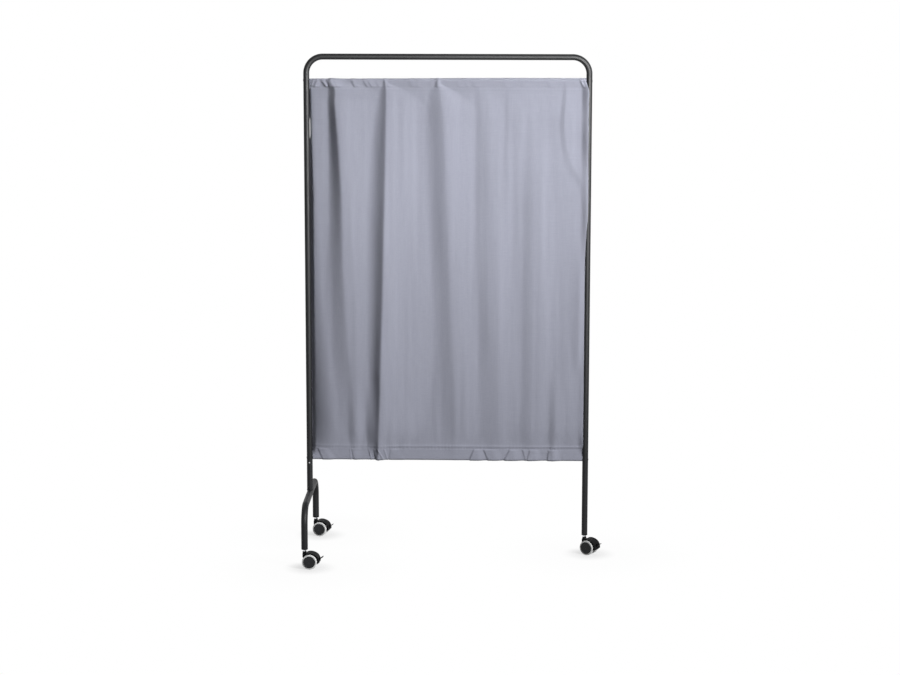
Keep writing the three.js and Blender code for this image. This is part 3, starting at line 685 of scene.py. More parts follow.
def button_screw(name, radius, height, shank_radius, shank_length):
    """A screw that points down -Z, with the underside of its head at zero."""
    socket = radius * 0.5
    angles = [2 * math.pi * i / screw_sides for i in range(screw_sides)]
    outline = [
        (0, -shank_length, 0), (shank_radius, -shank_length, 0), (shank_radius, 0, 0),
        (radius * 0.97, 0, 0), (radius, height * 0.12, 0), (radius * 0.97, height * 0.4, 0),
        (radius * 0.86, height * 0.7, 0), (radius * 0.7, height * 0.92, 0),
        (socket * 1.18, height, 0), (socket * 1.04, height, 1),
        (socket, height * 0.95, 1), (socket, height * 0.3, 1), (0, height * 0.2, 0),
    ]
    grid = []
    for reach, z, six_sided in outline:
        reaches = [hexagon(a, reach) if six_sided else reach for a in angles]
        grid.append([(r * math.cos(a), r * math.sin(a), z) for r, a in zip(reaches, angles)])
    return skin(name, grid, close_columns=True)


def aim(mesh, place, direction):
    """Turns a mesh so that its +Z looks along direction, and moves its origin to place."""
    quaternion = Vector((0, 0, 1)).rotation_difference(Vector(direction))
    mesh.transform(Matrix.Translation(place) @ quaternion.to_matrix().to_4x4())
    return mesh


print("A hexagon 10 over its corners measures", round(2 * hexagon(math.pi / 6, 5), 2), "over its flats")

# %% Setting the screws
head_share = 0.7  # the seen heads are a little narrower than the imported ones
rod_head_height = 0.0004
foot_shank, rod_shank = (0.002, 0.0035), (0.0025, 0.012)  # radius and length
screw_slots = {row["node"]: row["material_slot"] for row in frame["record"]["subparts"]}
for height_name in ("low", "high"):
    node = f"foot_screw_{height_name}"
    low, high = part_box(node)
    head_face = screen_y - frame_tube / 2 - seat_gap
    screw = button_screw(f"{node}_button", (high.x - low.x) / 2 * head_share, head_face - low.y,
                         *foot_shank)
    aim(screw, (left_x, head_face, (low.z + high.z) / 2), (0, -1, 0))
    place_piece(f"{node}_button", screw, "frame", screw_slots[node], node)

for level in ("top", "bottom"):
    for hand, side, upright in uprights:
        node = f"{level}_{hand}_screw"
        low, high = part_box(node)
        head_face = upright + side * (frame_tube / 2 + seat_gap)
        screw = button_screw(f"{node}_button", (high.z - low.z) / 2 * head_share, rod_head_height,
                             *rod_shank)
        aim(screw, (head_face, screen_y, (low.z + high.z) / 2), (side, 0, 0))
        place_piece(f"{node}_button", screw, "frame", screw_slots[node], node)

# %% [markdown]
# ## Rod collars
# Each rod end passes a nylon collar that keeps it off the sharp edge of its hole. The collar's back follows
# the round of the upright, so each of its points is set back by the curve of the tube.

# %% Rod collars
collar_height = 0.0012
collar_sides = 48
collar_profile = [(0.0043, 0.0), (0.0047, 0.0), (0.0051, 0.0004), (0.0051, 0.0015), (0.0043, 0.0015)]


def rod_collar(name, upright, side, height):
    """A ring round a rod on the side of an upright that faces the curtain."""
    face = frame_tube / 2 + seat_gap
    grid = []
    for reach, rise in collar_profile:
        ring = []
        for i in range(collar_sides):
            angle = 2 * math.pi * i / collar_sides
            y = reach * math.cos(angle)
            z = reach * math.sin(angle)
            skin_depth = math.sqrt(face ** 2 - y ** 2)
            depth = face + collar_height - rise if rise < collar_height else skin_depth
            ring.append((upright - side * depth, screen_y + y, height + z))
        grid.append(ring)
    return skin(name, grid, close_rows=True, close_columns=True)


rod_heights = {}
for level in ("top", "bottom"):
    low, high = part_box(f"{level}_rod")
    rod_heights[level] = (low.z + high.z) / 2
    for hand, side, upright in uprights:
        name = f"{level}_{hand}_collar"
        mesh = rod_collar(name, upright, side, rod_heights[level])
        place_piece(name, mesh, "frame", "black_nylon", f"{level}_{hand}_bush")
print("Rods at z", {k: round(v, 4) for k, v in rod_heights.items()})

# %% [markdown]
# ## Rods
# The two rods are bright drawn steel bars. Each end is drilled and tapped for the screw that comes through
# the upright, and its edge is broken with a small bevel.

# %% Rods
rod_radius = 0.0040
rod_bore = 0.00255
rod_bore_depth = 0.014
drilled_rods = []


def drilled_rod(length):
    """A bar along X with a hole in both ends, from its outline turned about Z."""
    profile = [
        (0.0, rod_bore_depth), (rod_bore, rod_bore_depth), (rod_bore, 0.0), (rod_radius, 0.0),
        (rod_radius, length), (rod_bore, length), (rod_bore, length - rod_bore_depth),
        (0.0, length - rod_bore_depth),
    ]
    mesh = turned("drilled_rod", rounded(profile, 0.0003), 40, closed=False)
    mesh.transform(Matrix.Rotation(math.pi / 2, 4, "Y"))
    return mesh


for level in ("top", "bottom"):
    low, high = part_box(f"{level}_rod")
    start = Matrix.Translation((low.x, screen_y, rod_heights[level]))
    drilled_rods.append(place_piece(f"{level}_bar", drilled_rod(high.x - low.x), "frame", "bright_steel",
                                    f"{level}_rod", place=start))
print("Rods:", [piece.name for piece in drilled_rods])

# %% [markdown]
# ## Curtain
# The curtain is one piece of cloth with a casing sewn at its top and another at its foot. The rods pass
# through the casings and keep the cloth drawn out, so its folds run up and down as long shallow ridges. A
# simulation would find some folds, though not these ones, so the cloth is drawn instead, the way a
# dressmaker chalks a pattern: each ridge is a line down the cloth with a rise and a width on both sides.
#
# The tables give those lines at a few heights, in millimetres, and a smooth curve joins the values. A
# sharpness of 0 makes a ridge round on top, and 1 makes it a fold.

# %% Sizes of the curtain
cloth_thickness = 0.00045
casing_radius = 0.0054  # from a rod's axis to the middle of the cloth
stand_left, stand_right = 0.0, 0.0040  # how far the stiff top casing stands above its rod
stand_full_x = 0.25  # where it stands as far as at the right end
top_rod_z = rod_heights["top"]
bottom_rod_z = rod_heights["bottom"]
top_stitch_z = 1.590
bottom_stitch_z = 0.363
layer_gap = 0.0010  # between the middles of two layers that are sewn together
print("Panel between the seams:", round(top_stitch_z - bottom_stitch_z, 3), "m")

# %% Ridges of the cloth
# name: (sharpness, rows of (height, x, rise, width to its left, width to its right))
ridges = {
    "first": (0.6, [
        (1617, -411, 2.6, 8, 40), (1604, -409, 4.2, 10, 70), (1590, -399, 8, 20, 110),
        (1540, -396, 13, 25, 140), (1476, -391, 17, 28, 150), (1380, -384, 18, 34, 150),
        (1262, -377, 18, 41, 150), (1091, -373, 16, 49, 150), (992, -373, 14, 55, 140),
        (818, -364, 10.5, 60, 130), (688, -356, 8, 60, 120), (560, -344, 4.5, 54, 100),
        (430, -336, 2, 46, 70), (380, -332, 0, 40, 60),
    ]),
    "second": (1.0, [
        (1617, -232, 2, 6, 8), (1600, -230, 3.5, 8, 16), (1590, -228, 5, 15, 40),
        (1540, -225, 10, 30, 110), (1457, -226, 16, 43, 140), (1246, -230, 21.5, 54, 160),
        (1006, -236, 22.5, 52, 180), (863, -239, 22.5, 49, 190), (668, -246, 22, 44, 180),
        (530, -249, 21, 39, 160), (408, -255, 18.5, 32, 130), (360, -257, 13, 22, 70),
        (330, -259, 6.5, 11, 30),
    ]),
    "third": (0.55, [
        (1617, -54, 1.6, 7, 9), (1600, -54, 2.4, 10, 12), (1588, -50, 4, 24, 30),
        (1540, -41, 9, 46, 90), (1434, -33, 12, 62, 110), (1264, -26, 13, 66, 120),
        (1092, -20, 13.5, 64, 130), (929, -13, 11, 62, 130), (735, -6, 9, 60, 120),
        (462, 7, 5.5, 56, 100), (370, 6, 2, 40, 50), (330, 4, 0.5, 20, 30),
    ]),
    "fourth": (0.15, [
        (1590, 94, 0.4, 25, 30), (1521, 104, 3, 50, 60), (1400, 112, 5.4, 60, 80),
        (1093, 122, 6.4, 66, 80), (995, 125, 6.2, 68, 80), (821, 134, 6.0, 68, 80),
        (646, 146, 5.6, 66, 80), (470, 152, 4.4, 60, 70), (370, 150, 2, 40, 40), (330, 146, 0.5, 20, 20),
    ]),
    "fifth": (0.1, [
        (1580, 186, 0.4, 16, 50), (1395, 188, 1.0, 24, 60), (1300, 188, 1.0, 28, 60),
        (1150, 188, 0, 30, 60),
    ]),
    "sixth": (0.1, [
        (1500, 272, 0, 30, 40), (1349, 274, 2.6, 44, 50), (1012, 276, 3.4, 44, 55),
        (774, 278, 3.2, 46, 55), (561, 276, 3.2, 46, 55), (384, 268, 2.2, 36, 40),
        (330, 264, 0.6, 18, 20),
    ]),
    "low_right": (0.4, [
        (640, 342, 0, 16, 20), (517, 343, 2.6, 20, 34), (400, 342, 3, 20, 34),
        (360, 340, 2.4, 16, 30), (330, 336, 1, 8, 12),
    ]),
    "right_dent": (0.2, [
        (1080, 436, 0, 40, 40), (950, 433, 2.6, 44, 40), (860, 428, 3.0, 38, 40),
        (778, 421, 2.8, 30, 26), (700, 419, 2.6, 24, 18), (620, 418, 0, 20, 14),
    ]),
    "low_first": (0.2, [(620, -340, 0, 20, 30), (529, -338, 1.0, 22, 30), (400, -336, 2.4, 22, 26),
                        (363, -336, 1.6, 14, 20)]),
    "low_second": (0.2, [(600, -284, 0, 14, 24), (480, -283, 3, 18, 24), (385, -280, 4, 16, 20),
                         (345, -280, 2, 10, 16)]),
    "low_third": (0.2, [(520, -212, 0, 14, 30), (430, -210, 1, 18, 30), (385, -210, 1.2, 18, 30),
                        (350, -212, 0.5, 10, 20)]),
    "low_fourth": (0.2, [(520, -172, 0, 20, 40), (430, -168, 1.2, 26, 40), (381, -168, 1.4, 24, 30),
                         (350, -170, 0.6, 10, 20)]),
}
print("Ridges:", len(ridges))

# %% Edges of the cloth and its lie between the ridges
# (height, width, depth) of the fall of the cloth towards its left edge
edge_fall = [(1600, 10, 0), (1560, 14, 2), (1400, 18, 3), (1200, 24, 4.5), (1039, 30, 6.5), (870, 38, 9),
             (700, 54, 14), (600, 64, 18), (520, 70, 21), (430, 76, 23), (375, 74, 17), (352, 70, 11),
             (330, 50, 0)]
# (height, x) of the two edges, and of the place where the left one starts to tuck in
left_edge = [(1621, -482.4), (1600, -482.4), (1570, -488), (1492, -488), (1482, -482), (1421, -482),
             (1411, -488), (352, -488), (336, -482), (320, -482)]
right_edge = [(1621, 436.8), (1609, 436.8), (1603, 439), (1588, 444.5), (1532, 445.5), (1380, 446),
              (1256, 447), (1150, 446), (1080, 441), (1010, 438.5), (340, 438.5), (332, 436.8),
              (320, 436.8)]
tuck_start = [(1600, -477.5), (1440, -477.5), (1350, -475), (1250, -472.5), (340, -472.5)]
back_edge = 436.8  # where the casings' back layers end, beside the right upright
# (height, how far the cloth hangs back between its ridges)
lie = [(1612, -4.0), (1590, 0.9), (1480, 8.5), (1000, 9), (700, 8), (540, 5.5), (430, 3), (363, 0.9),
       (328, -4.0)]
# (height, x) and (height, rise) of the proud lobe
proud_line = [(1617, 374), (1585, 374), (1436, 367), (1386, 376), (1329, 397), (1283, 425), (1240, 447)]
proud_rise = [(1612, 0), (1596, 1), (1540, 2.6), (1436, 2.8), (1386, 2.4), (1283, 2.4), (1240, 1), (1200, 0)]
# (height, how far the right edge lies over the tube, from 0 to 1)
over_tube = [(1608, 0), (1600, 1), (380, 1), (352, 0)]
# (height, how far the right third of the cloth comes forward, little by little, towards the tube)
drift = [(1590, 0), (1500, 8), (1400, 10), (1310, 17), (1240, 17), (1175, 15), (1000, 13), (700, 12),
         (540, 10), (430, 7), (363, 0)]
print("Cloth from x", left_edge[0][1], "to", right_edge[0][1], "mm")

# %% Smooth curves through the tables
def along(table, z, column=1):
    """A value of a table at the heights z, on a smooth curve through its rows."""
    rows = sorted(table)
    heights = np.array([row[0] for row in rows], float) * mm
    values = np.array([row[column] for row in rows], float)
    slopes = np.gradient(values, heights)
    z = np.clip(z, heights[0], heights[-1])
    i = np.clip(np.searchsorted(heights, z) - 1, 0, len(heights) - 2)
    span = heights[i + 1] - heights[i]
    t = (z - heights[i]) / span
    flat = values[i] == values[i + 1]
    start = np.where(flat, 0, slopes[i]) * span
    end = np.where(flat, 0, slopes[i + 1]) * span
    return ((2 * t**3 - 3 * t**2 + 1) * values[i] + (t**3 - 2 * t**2 + t) * start
            + (3 * t**2 - 2 * t**3) * values[i + 1] + (t**3 - t**2) * end)


def ease(value, start, end):
    t = np.clip((value - start) / (end - start), 0, 1)
    return t * t * (3 - 2 * t)


print("First ridge at 1 m: x", round(float(along(ridges["first"][1], 1.0))), "mm")

# %% Rise of one ridge
crest_radius, crest_share = 8.0, 5  # millimetres, and never more than a fifth of the left width
ridge_fade = 12  # millimetres over which a ridge dies out past its table


def ridge_rise(x, z, sharpness, table):
    """How far one ridge lifts the cloth, in millimetres."""
    offset = x / mm - along(table, z)
    left = np.maximum(along(table, z, 3), 1)
    right = np.maximum(along(table, z, 4), 1)
    crest = np.minimum(crest_radius, left / crest_share)
    away = np.sqrt(offset ** 2 + crest ** 2) - crest
    t = np.clip(away / np.where(offset < 0, left, right), 0, 1)
    round_top = 1 - t * t * (3 - 2 * t)
    sharp_top = (1 - t) ** np.where(offset < 0, 2, 1.4)
    rise = np.maximum(along(table, z, 2), 0)
    low, high = min(row[0] for row in table), max(row[0] for row in table)
    fade = ease(z / mm, low - ridge_fade, low) * (1 - ease(z / mm, high, high + ridge_fade))
    return rise * fade * (round_top * (1 - sharpness) + sharp_top * sharpness)


print("Its rise there:", round(float(ridge_rise(-0.373, 1.0, *ridges["first"])), 1), "mm")

# %% [markdown]
# The lie of the cloth gives how far back it hangs between the ridges: forward over each rod, in line with
# the rods at the seams, and back in the middle. On the left the edge tucks in behind the upright. On the
# right a proud lobe starts at a slanting line near the top, and the edge passes in front of the tube.
#
# Small things bring the cloth to life: slanting tucks in the top casing, puffs, creases and a dent in the
# bottom one, puckers where the seams draw it in, and a soft unevenness that runs mostly up and down.

# %% Tucks, puffs, creases and the dent of the casings
# (x at the top, x at the seam, rise, width to its left, width to its right)
top_tucks = [
    (-470, -474, 3.0, 3, 7), (-455, -465, 4.4, 4, 11), (-444, -426, 4.4, 4, 12), (-424, -412, 4.6, 4, 26),
    (-398, -388, 1.2, 4, 12), (-344, -330, 3.0, 4, 18), (-304, -288, 2.4, 4, 14), (-290, -272, 2.6, 4, 18),
    (-262, -250, 1.4, 5, 13), (-224, -216, 1.2, 5, 12), (-146, -138, 1.4, 8, 20), (-124, -120, 0.8, 7, 12),
    (-62, -56, 1.3, 5, 12), (12, 18, 1.0, 8, 18), (38, 44, 0.8, 6, 10), (64, 72, 1.1, 9, 20),
    (164, 172, 0.9, 8, 20), (225, 231, 0.7, 8, 16), (312, 320, 0.9, 8, 18), (416, 430, 4.0, 3, 6),
    (427, 441, 3.6, 3, 6),
]
# (left at the foot, left at the seam, right at the seam, right at the foot, rise)
puffs = [(-447, -467, -428, -400, 2.4), (51, 68, 98, 106, 3.0), (116, 99, 150, 165, 2.4),
         (169, 190, 224, 230, 3.0), (243, 232, 256, 258, 2.4), (248, 258, 290, 300, 2.4),
         (317, 323, 356, 364, 2.8), (-341, -351, -318, -312, 1.8), (-222, -216, -170, -160, 1.0)]
# (left, right, depth)
dents = [(266, 317, 0.7)]
# (x at the seam, x at the foot, rise, half width) of creases in the bottom casing
creases = [(-354, -352, 1.2, 3), (-292, -280, 1.4, 4), (-272, -262, 1.6, 4),
           (-262, -240, 1.8, 4), (-238, -226, 1.5, 4)]
print("Tucks:", len(top_tucks), "puffs:", len(puffs), "creases:", len(creases))

# %% Soft noise
noise_cells = 97


def soft_noise(x, z, wide, tall, seed):
    """Smooth noise from -1 to 1 for arrays of points, with spots of that width and height."""
    noise_grid = np.random.default_rng(seed).uniform(-1, 1, (noise_cells, noise_cells))
    u, v = np.broadcast_arrays(x / wide + 31.7, z / tall + 17.3)
    i, j = np.floor(u).astype(int), np.floor(v).astype(int)
    s, t = u - i, v - j
    s, t = s * s * (3 - 2 * s), t * t * (3 - 2 * t)
    value = [noise_grid[(i + a) % noise_cells, (j + b) % noise_cells] for a in (0, 1) for b in (0, 1)]
    lower = value[0] * (1 - s) + value[2] * s
    upper = value[1] * (1 - s) + value[3] * s
    return lower * (1 - t) + upper * t


print("Soft noise at the middle:", round(float(soft_noise(0.0, 1.0, 0.034, 0.52, 11)), 3))

# %% Relief of the casings
tuck_base = 0.35  # the share of a tuck's rise that is left at the rod


def casing_relief(x, z):
    """Rise of the tucks, puffs, creases and dent, in millimetres."""
    along_x = x / mm
    rise = np.zeros(np.broadcast(x, z).shape)
    t = np.clip((top_rod_z + casing_radius - z) / (top_rod_z + casing_radius - top_stitch_z), 0, 1)
    top_band = ease(z, top_stitch_z - 0.002, top_stitch_z + 0.003)
    for top_x, seam_x, height, left, right in top_tucks:
        offset = along_x - top_x - (seam_x - top_x) * t
        profile = np.exp(-(np.where(offset < 0, offset / left, offset / right) ** 2))
        rise += height * profile * top_band * (tuck_base + (1 - tuck_base) * t)
    foot = bottom_rod_z - casing_radius
    s = np.clip((z - foot) / (bottom_stitch_z - foot), 0, 1)
    bottom_band = 1 - ease(z, bottom_stitch_z - 0.006, bottom_stitch_z)
    for left_low, left_high, right_high, right_low, height in puffs:
        left = left_low + (left_high - left_low) * s
        right = right_low + (right_high - right_low) * s
        up = ease(along_x, left - 2, left + 3)
        rise += height * bottom_band * up * (1 - ease(along_x, right - 26, right + 5))
    for left, right, depth in dents:
        inside = ease(along_x, left - 2, left + 3) * (1 - ease(along_x, right - 3, right + 2))
        rise -= depth * inside * bottom_band * (1 - ease(s, 0.55, 0.75))
    for seam_x, foot_x, height, half in creases:
        offset = np.abs(along_x - (foot_x + (seam_x - foot_x) * s)) / half
        rise += height * bottom_band * np.clip(1 - offset, 0, 1) ** 1.5
    return rise


print("First puff below the seam:", round(float(casing_relief(-0.45, bottom_stitch_z - 0.01)), 1), "mm")

# %% Relief of the seams, in millimetres
# the height, the side that the panel is on, the depth, and its share at the left and at the right
seams = [(top_stitch_z, -1, 0.12, 1.0, 1.0), (bottom_stitch_z, 1, 0.6, 0.45, 1.0)]
deepening = (-240, -200)  # the places between which a seam's depth changes
groove_width = 1.8
welt_share, welt_away, welt_width = 2.2, 8, 3.0  # the low roll that the panel makes beside a seam
pucker_pitch, pucker_wander, pucker_share = 11.0, 9, 0.24
pucker_reach, pucker_start = 16, -7


def seam_relief(x, z):
    """Grooves along the seams and the puckers that run from them into the panel."""
    rise = np.zeros(np.broadcast(x, z).shape)
    for seam, side, depth, left_share, right_share in seams:
        past = side * (z - seam) / mm
        strength = left_share + (right_share - left_share) * ease(x / mm, *deepening)
        rise -= depth * strength * np.exp(-((z - seam) / mm / groove_width) ** 2)
        rise += welt_share * depth * strength * np.exp(-((past - welt_away) / welt_width) ** 2)
        wander = soft_noise(x, z, 0.05, 0.5, 5) * pucker_wander
        wave = np.cos((x / mm + wander) / pucker_pitch * 2 * math.pi)
        fade = np.exp(-np.clip(past, 0, None) / pucker_reach) * ease(past, pucker_start, 0)
        rise += pucker_share * depth * wave * fade * (1 + soft_noise(x, z, 0.03, 0.4, 6))
    return rise


print("Groove of the lower seam:", round(float(seam_relief(0.2, bottom_stitch_z)), 2), "mm")

# %% The front of the cloth
# (rise in millimetres, width and height of its spots in metres, seed) of the unevenness
panel_waves = [(0.9, 0.034, 0.52, 11), (0.35, 0.016, 0.30, 12)]
crumples = (0.12, 0.010, 0.020, 13)
calm_margin = 0.06  # the height beside each seam over which this fades out
tuck_depth, tuck_width = 0.013, 0.0115  # how far the left edge turns back behind the upright
full_fall = 34  # a fall this deep would leave no tuck
tuck_zone = (0.334, 0.36, 1.572, 1.592)  # heights where the tuck starts, is full, ends and is gone
drift_zone = (-0.05, 0.445)
tube_clearance = 0.0016  # from the tube to the cloth that passes in front of it
over_zone = (0.420, 0.446)


def within(z, start, full, end, gone):
    """1 between two heights and 0 outside them, with soft ends."""
    return ease(z, start, full) * (1 - ease(z, end, gone))


def front_of_cloth(x, z):
    """The y of the middle of the front layer, in metres, for arrays of x and z."""
    back = along(lie, z)
    rise = np.zeros(np.broadcast(x, z).shape)
    for sharpness, table in ridges.values():
        rise += ridge_rise(x, z, sharpness, table)
    right_of_line = x / mm - along(proud_line, z)
    rise += along(proud_rise, z) * ease(right_of_line, -18 - 14 * ease(-z, -1.45, -1.30), 2)
    rise += casing_relief(x, z) + seam_relief(x, z)
    in_panel = within(z, bottom_stitch_z, bottom_stitch_z + calm_margin,
                      top_stitch_z - calm_margin, top_stitch_z)
    rise += in_panel * sum(height * soft_noise(x, z, *spots) for height, *spots in panel_waves)
    rise += crumples[0] * soft_noise(x, z, *crumples[1:])
    from_edge = np.clip((x / mm - left_edge[0][1]) / along(edge_fall, z), 0, 1)
    fall = along(edge_fall, z, 2)
    y = (back - rise + fall * (1 - from_edge) ** 2) * mm
    tuck = np.clip((along(tuck_start, z) * mm - x) / tuck_width, 0, 1)
    y = y + tuck_depth * (1 - fall / full_fall) * (0.3 * tuck + 0.7 * tuck ** 2) * within(z, *tuck_zone)
    y = y - np.maximum(along(drift, z), 0) * mm * ease(x, *drift_zone)
    clear = frame_tube / 2 + tube_clearance
    short_of_axis = np.maximum(right_x - along(right_edge, z) * mm, 0)
    in_front = screen_y - np.sqrt(np.maximum(clear ** 2 - short_of_axis ** 2, 0))
    return y + (in_front - y) * ease(x, *over_zone) * np.clip(along(over_tube, z), 0, 1)


print("Front of the cloth at 1 m:", round(float(front_of_cloth(0.0, 1.0)), 4), "m")

# %% [markdown]
# Now the cloth is laid out in rows and columns. Its rows start at the seam behind the top rod, go over the
# rod, down the front, round the lower rod and up to the lower seam. Its columns run from one side hem to
# the other, and each hem is a narrow strip of columns folded round to the inside.

# %% Rows of the cloth
seam_allowance = 0.003
arc_steps = 10
casing_step = 0.0025
# (height at which a stretch of the front ends, the step between its rows), from the top rod down
front_stretches = [(1.575, 0.002), (1.50, 0.0045), (0.42, 0.009), (0.375, 0.0045), (bottom_rod_z, 0.002)]


def heights_between(start, end, step):
    count = max(2, int(round(abs(end - start) / step)) + 1)
    return list(np.linspace(start, end, count))[:-1]


def row_plan():
    """(part, value) of every row: a height, or an angle from the front of a casing."""
    angles = [math.pi * i / arc_steps for i in range(1, arc_steps)]
    climb = heights_between(top_stitch_z - seam_allowance, top_rod_z, casing_step)
    plan = [("top back", z) for z in climb]
    plan += [("top arc", a) for a in [math.pi] + angles[::-1]]
    start = top_rod_z
    for end, step in front_stretches:
        plan += [("front", z) for z in heights_between(start, end, step)]
        start = end
    plan += [("foot arc", a) for a in [0.0] + angles + [math.pi]]
    climb = heights_between(bottom_stitch_z + seam_allowance, bottom_rod_z, casing_step)
    return plan + [("foot back", z) for z in climb[::-1]]


print("Rows:", len(row_plan()))

# %% Points of a row
hem_width = 0.009
hem_gap = 0.0009
hem_fade = 0.006


def hem_layers(x):
    """Room that the two side hems need between a casing's layers."""
    inset = np.minimum(x - left_edge[-1][1] * mm, right_edge[-1][1] * mm - x)
    return layer_gap + 2 * hem_gap * (1 - ease(inset, hem_width, hem_width + hem_fade))


def row_points(part, value, x, inset):
    """Points of one row at the places x, moved by inset to the inside of the cloth."""
    if part == "front":
        return np.stack([x, front_of_cloth(x, value) + inset, np.full_like(x, value)], axis=-1)
    top = part.startswith("top")
    rod_z = top_rod_z if top else bottom_rod_z
    away = 1 if top else -1
    if part.endswith("arc"):
        share = ((1 + math.cos(value)) / 2) ** 1.5
        front = screen_y - front_of_cloth(x, rod_z)
        radius = casing_radius + (front - casing_radius) * share - inset
        stand = stand_left + (stand_right - stand_left) * ease(x, left_x, stand_full_x)
        rise = radius + (stand if top else 0.0)
        return np.stack([x, screen_y - radius * math.cos(value),
                         rod_z + away * rise * math.sin(value)], axis=-1)
    seam_z = top_stitch_z if top else bottom_stitch_z
    joined = front_of_cloth(x, seam_z) + hem_layers(x)
    share = ease(abs(value - seam_z), 0, abs(rod_z - seam_z)) if away * (value - seam_z) > 0 else 0.0
    y = joined + (screen_y + casing_radius - joined) * share - inset
    return np.stack([x, y, np.full_like(x, value)], axis=-1)


print("Layers at a hem:", round(float(hem_layers(np.array(-0.48))) * 1000, 2), "mm apart")

# %% Rows and columns of the cloth
column_step = 0.0024
edge_step = 0.0003  # the outermost columns stand this far inside the edges
hem_strip = np.array([1.0, 0.66, 0.33, 0.05])  # its columns, as shares of the hem's width


def cloth_grid():
    columns = int(round((right_edge[1][1] - left_edge[1][1]) * mm / column_step))
    shares = np.linspace(0, 1, columns)
    grid = []
    for part, value in row_plan():
        z = value
        if part.endswith("arc"):
            z = (top_rod_z if part.startswith("top") else bottom_rod_z)
        low = float(along(left_edge, np.array(z))) * mm
        high = float(along(right_edge, np.array(z))) * mm
        if part.endswith("back"):
            high = min(high, back_edge * mm)
        main = low + (high - low) * shares
        main[0], main[-1] = low + edge_step, high - edge_step
        row = [
            row_points(part, value, low + hem_strip * hem_width, hem_gap),
            row_points(part, value, np.array([low]), hem_gap / 2),
            row_points(part, value, main, 0.0),
            row_points(part, value, np.array([high]), hem_gap / 2),
            row_points(part, value, high - hem_strip[::-1] * hem_width, hem_gap),
        ]
        grid.append(np.concatenate(row))
    return np.array(grid)


grid = cloth_grid()
print("Rows and columns:", grid.shape[:2])

# %% The cloth as one mesh
def mesh_area(mesh):
    return sum(polygon.area for polygon in mesh.polygons)


curtain_mesh = skin("curtain_sheet", grid)
across = np.linalg.norm(np.diff(grid, axis=1), axis=-1).sum(axis=1)
down = np.linalg.norm(np.diff(grid, axis=0), axis=-1).sum(axis=0)
cut_width = float(np.median(across))
cut_length = float(np.median(down))
print("Curtain cut", round(cut_width, 3), "by", round(cut_length, 3), "m, area",
      round(mesh_area(curtain_mesh), 3), "m2, depth from", round(float(grid[..., 1].min()), 4),
      "to", round(float(grid[..., 1].max()), 4))

curtain = place_piece("curtain_sheet", curtain_mesh, "frame", "curtain_fabric", "curtain")
thickness = curtain.modifiers.new("cloth_thickness", "SOLIDIFY")
thickness.thickness = cloth_thickness
thickness.offset = 0

# %% [markdown]
# The seams are sewn with a thread of nearly the cloth's own colour. One stitch is a little arched bead, and
# copies of it follow every seam and hem, on the front and on the back.

# %% Lines of stitches
stitch_pitch = 0.005
seam_inset = 0.002  # from the cloth's edges to the first and last stitch of a seam
hem_inset = 0.0015  # from the hem's inner edge to its stitches
hem_start, hem_end = bottom_stitch_z + 0.006, top_stitch_z - 0.004
along_seam, along_hem = Vector((1, 0, 0)), Vector((0, 0, 1))


def stitch_lines():
    """Lines of (places on the cloth, the way they run, the side that they face)."""
    outside = cloth_thickness / 2
    for z in (top_stitch_z, bottom_stitch_z):
        low = float(along(left_edge, np.array(z))) * mm + seam_inset
        high = float(along(right_edge, np.array(z))) * mm - seam_inset
        x = np.arange(low, high, stitch_pitch)
        y = front_of_cloth(x, z)
        yield np.stack([x, y - outside, np.full_like(x, z)], axis=-1), along_seam, -1
        yield np.stack([x, y + hem_layers(x) + outside, np.full_like(x, z)], axis=-1), along_seam, 1
    z = np.arange(hem_start, hem_end, stitch_pitch)
    for edge, side in ((left_edge, 1), (right_edge, -1)):
        x = along(edge, z) * mm + side * (hem_width - hem_inset)
        y = front_of_cloth(x, z)
        yield np.stack([x, y - outside, z], axis=-1), along_hem, -1
        yield np.stack([x, y + hem_gap + outside, z], axis=-1), along_hem, 1


print("Lines of stitches:", len(list(stitch_lines())))

# %% Stitches
stitch_length = 0.0036
thread_radius = 0.0002
thread_sides = 5
thread_rings = [(-1, 0.35), (-0.55, 1.0), (0.55, 1.0), (1, 0.35)]  # (place along a stitch, thickness)


def one_stitch(direction, facing):
    """Rings of points round one stitch that lies along direction and bulges towards facing."""
    out = Vector((0, facing, 0))
    beside = direction.cross(out)
    ring_list = []
    sides = [2 * math.pi * k / thread_sides for k in range(thread_sides)]
    for t, size in thread_rings:
        middle = direction * (t * stitch_length / 2) - out * (thread_radius * 1.2 * t * t)
        ring_list.append([middle + (out * math.cos(a) + beside * math.sin(a)) * thread_radius * size
                          for a in sides])
    return np.array(ring_list)


def stitch_mesh():
    number = np.arange(len(thread_rings) * thread_sides).reshape(-1, thread_sides)
    unit_faces = grid_faces(number, close_columns=True, caps=True)
    points, faces = [], []
    for places, direction, facing in stitch_lines():
        unit = one_stitch(direction, facing).reshape(-1, 3)
        for place in places:
            start = len(points) * number.size
            points.append(unit + place)
            faces += [[start + corner for corner in face] for face in unit_faces]
    mesh = bpy.data.meshes.new("curtain_stitches")
    mesh.from_pydata(np.concatenate(points).tolist(), [], faces)
    return tidy(mesh)


stitches = place_piece("curtain_stitches", stitch_mesh(), "frame", "curtain_fabric")
print("Stitches:", len(stitches.data.vertices) // (len(thread_rings) * thread_sides))

# %% [markdown]
# ## Castors
# Each castor has a hood that holds its stem at the front and its axle at the back, a wheel on each side of
# the hood's web, and a brake pedal between the wheels. The three are alike, so every shape is made once, in
# millimetres, round the point of the floor under the stem, with the trail along X and the axle along Y.
# Then it is set down three times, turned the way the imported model's joints say.

# %% Sizes of a castor, in millimetres
wheel_radius = 25.0
trail = 18.5
castor_tubes = {"front": foot_tube, "back": foot_tube, "right": frame_tube}


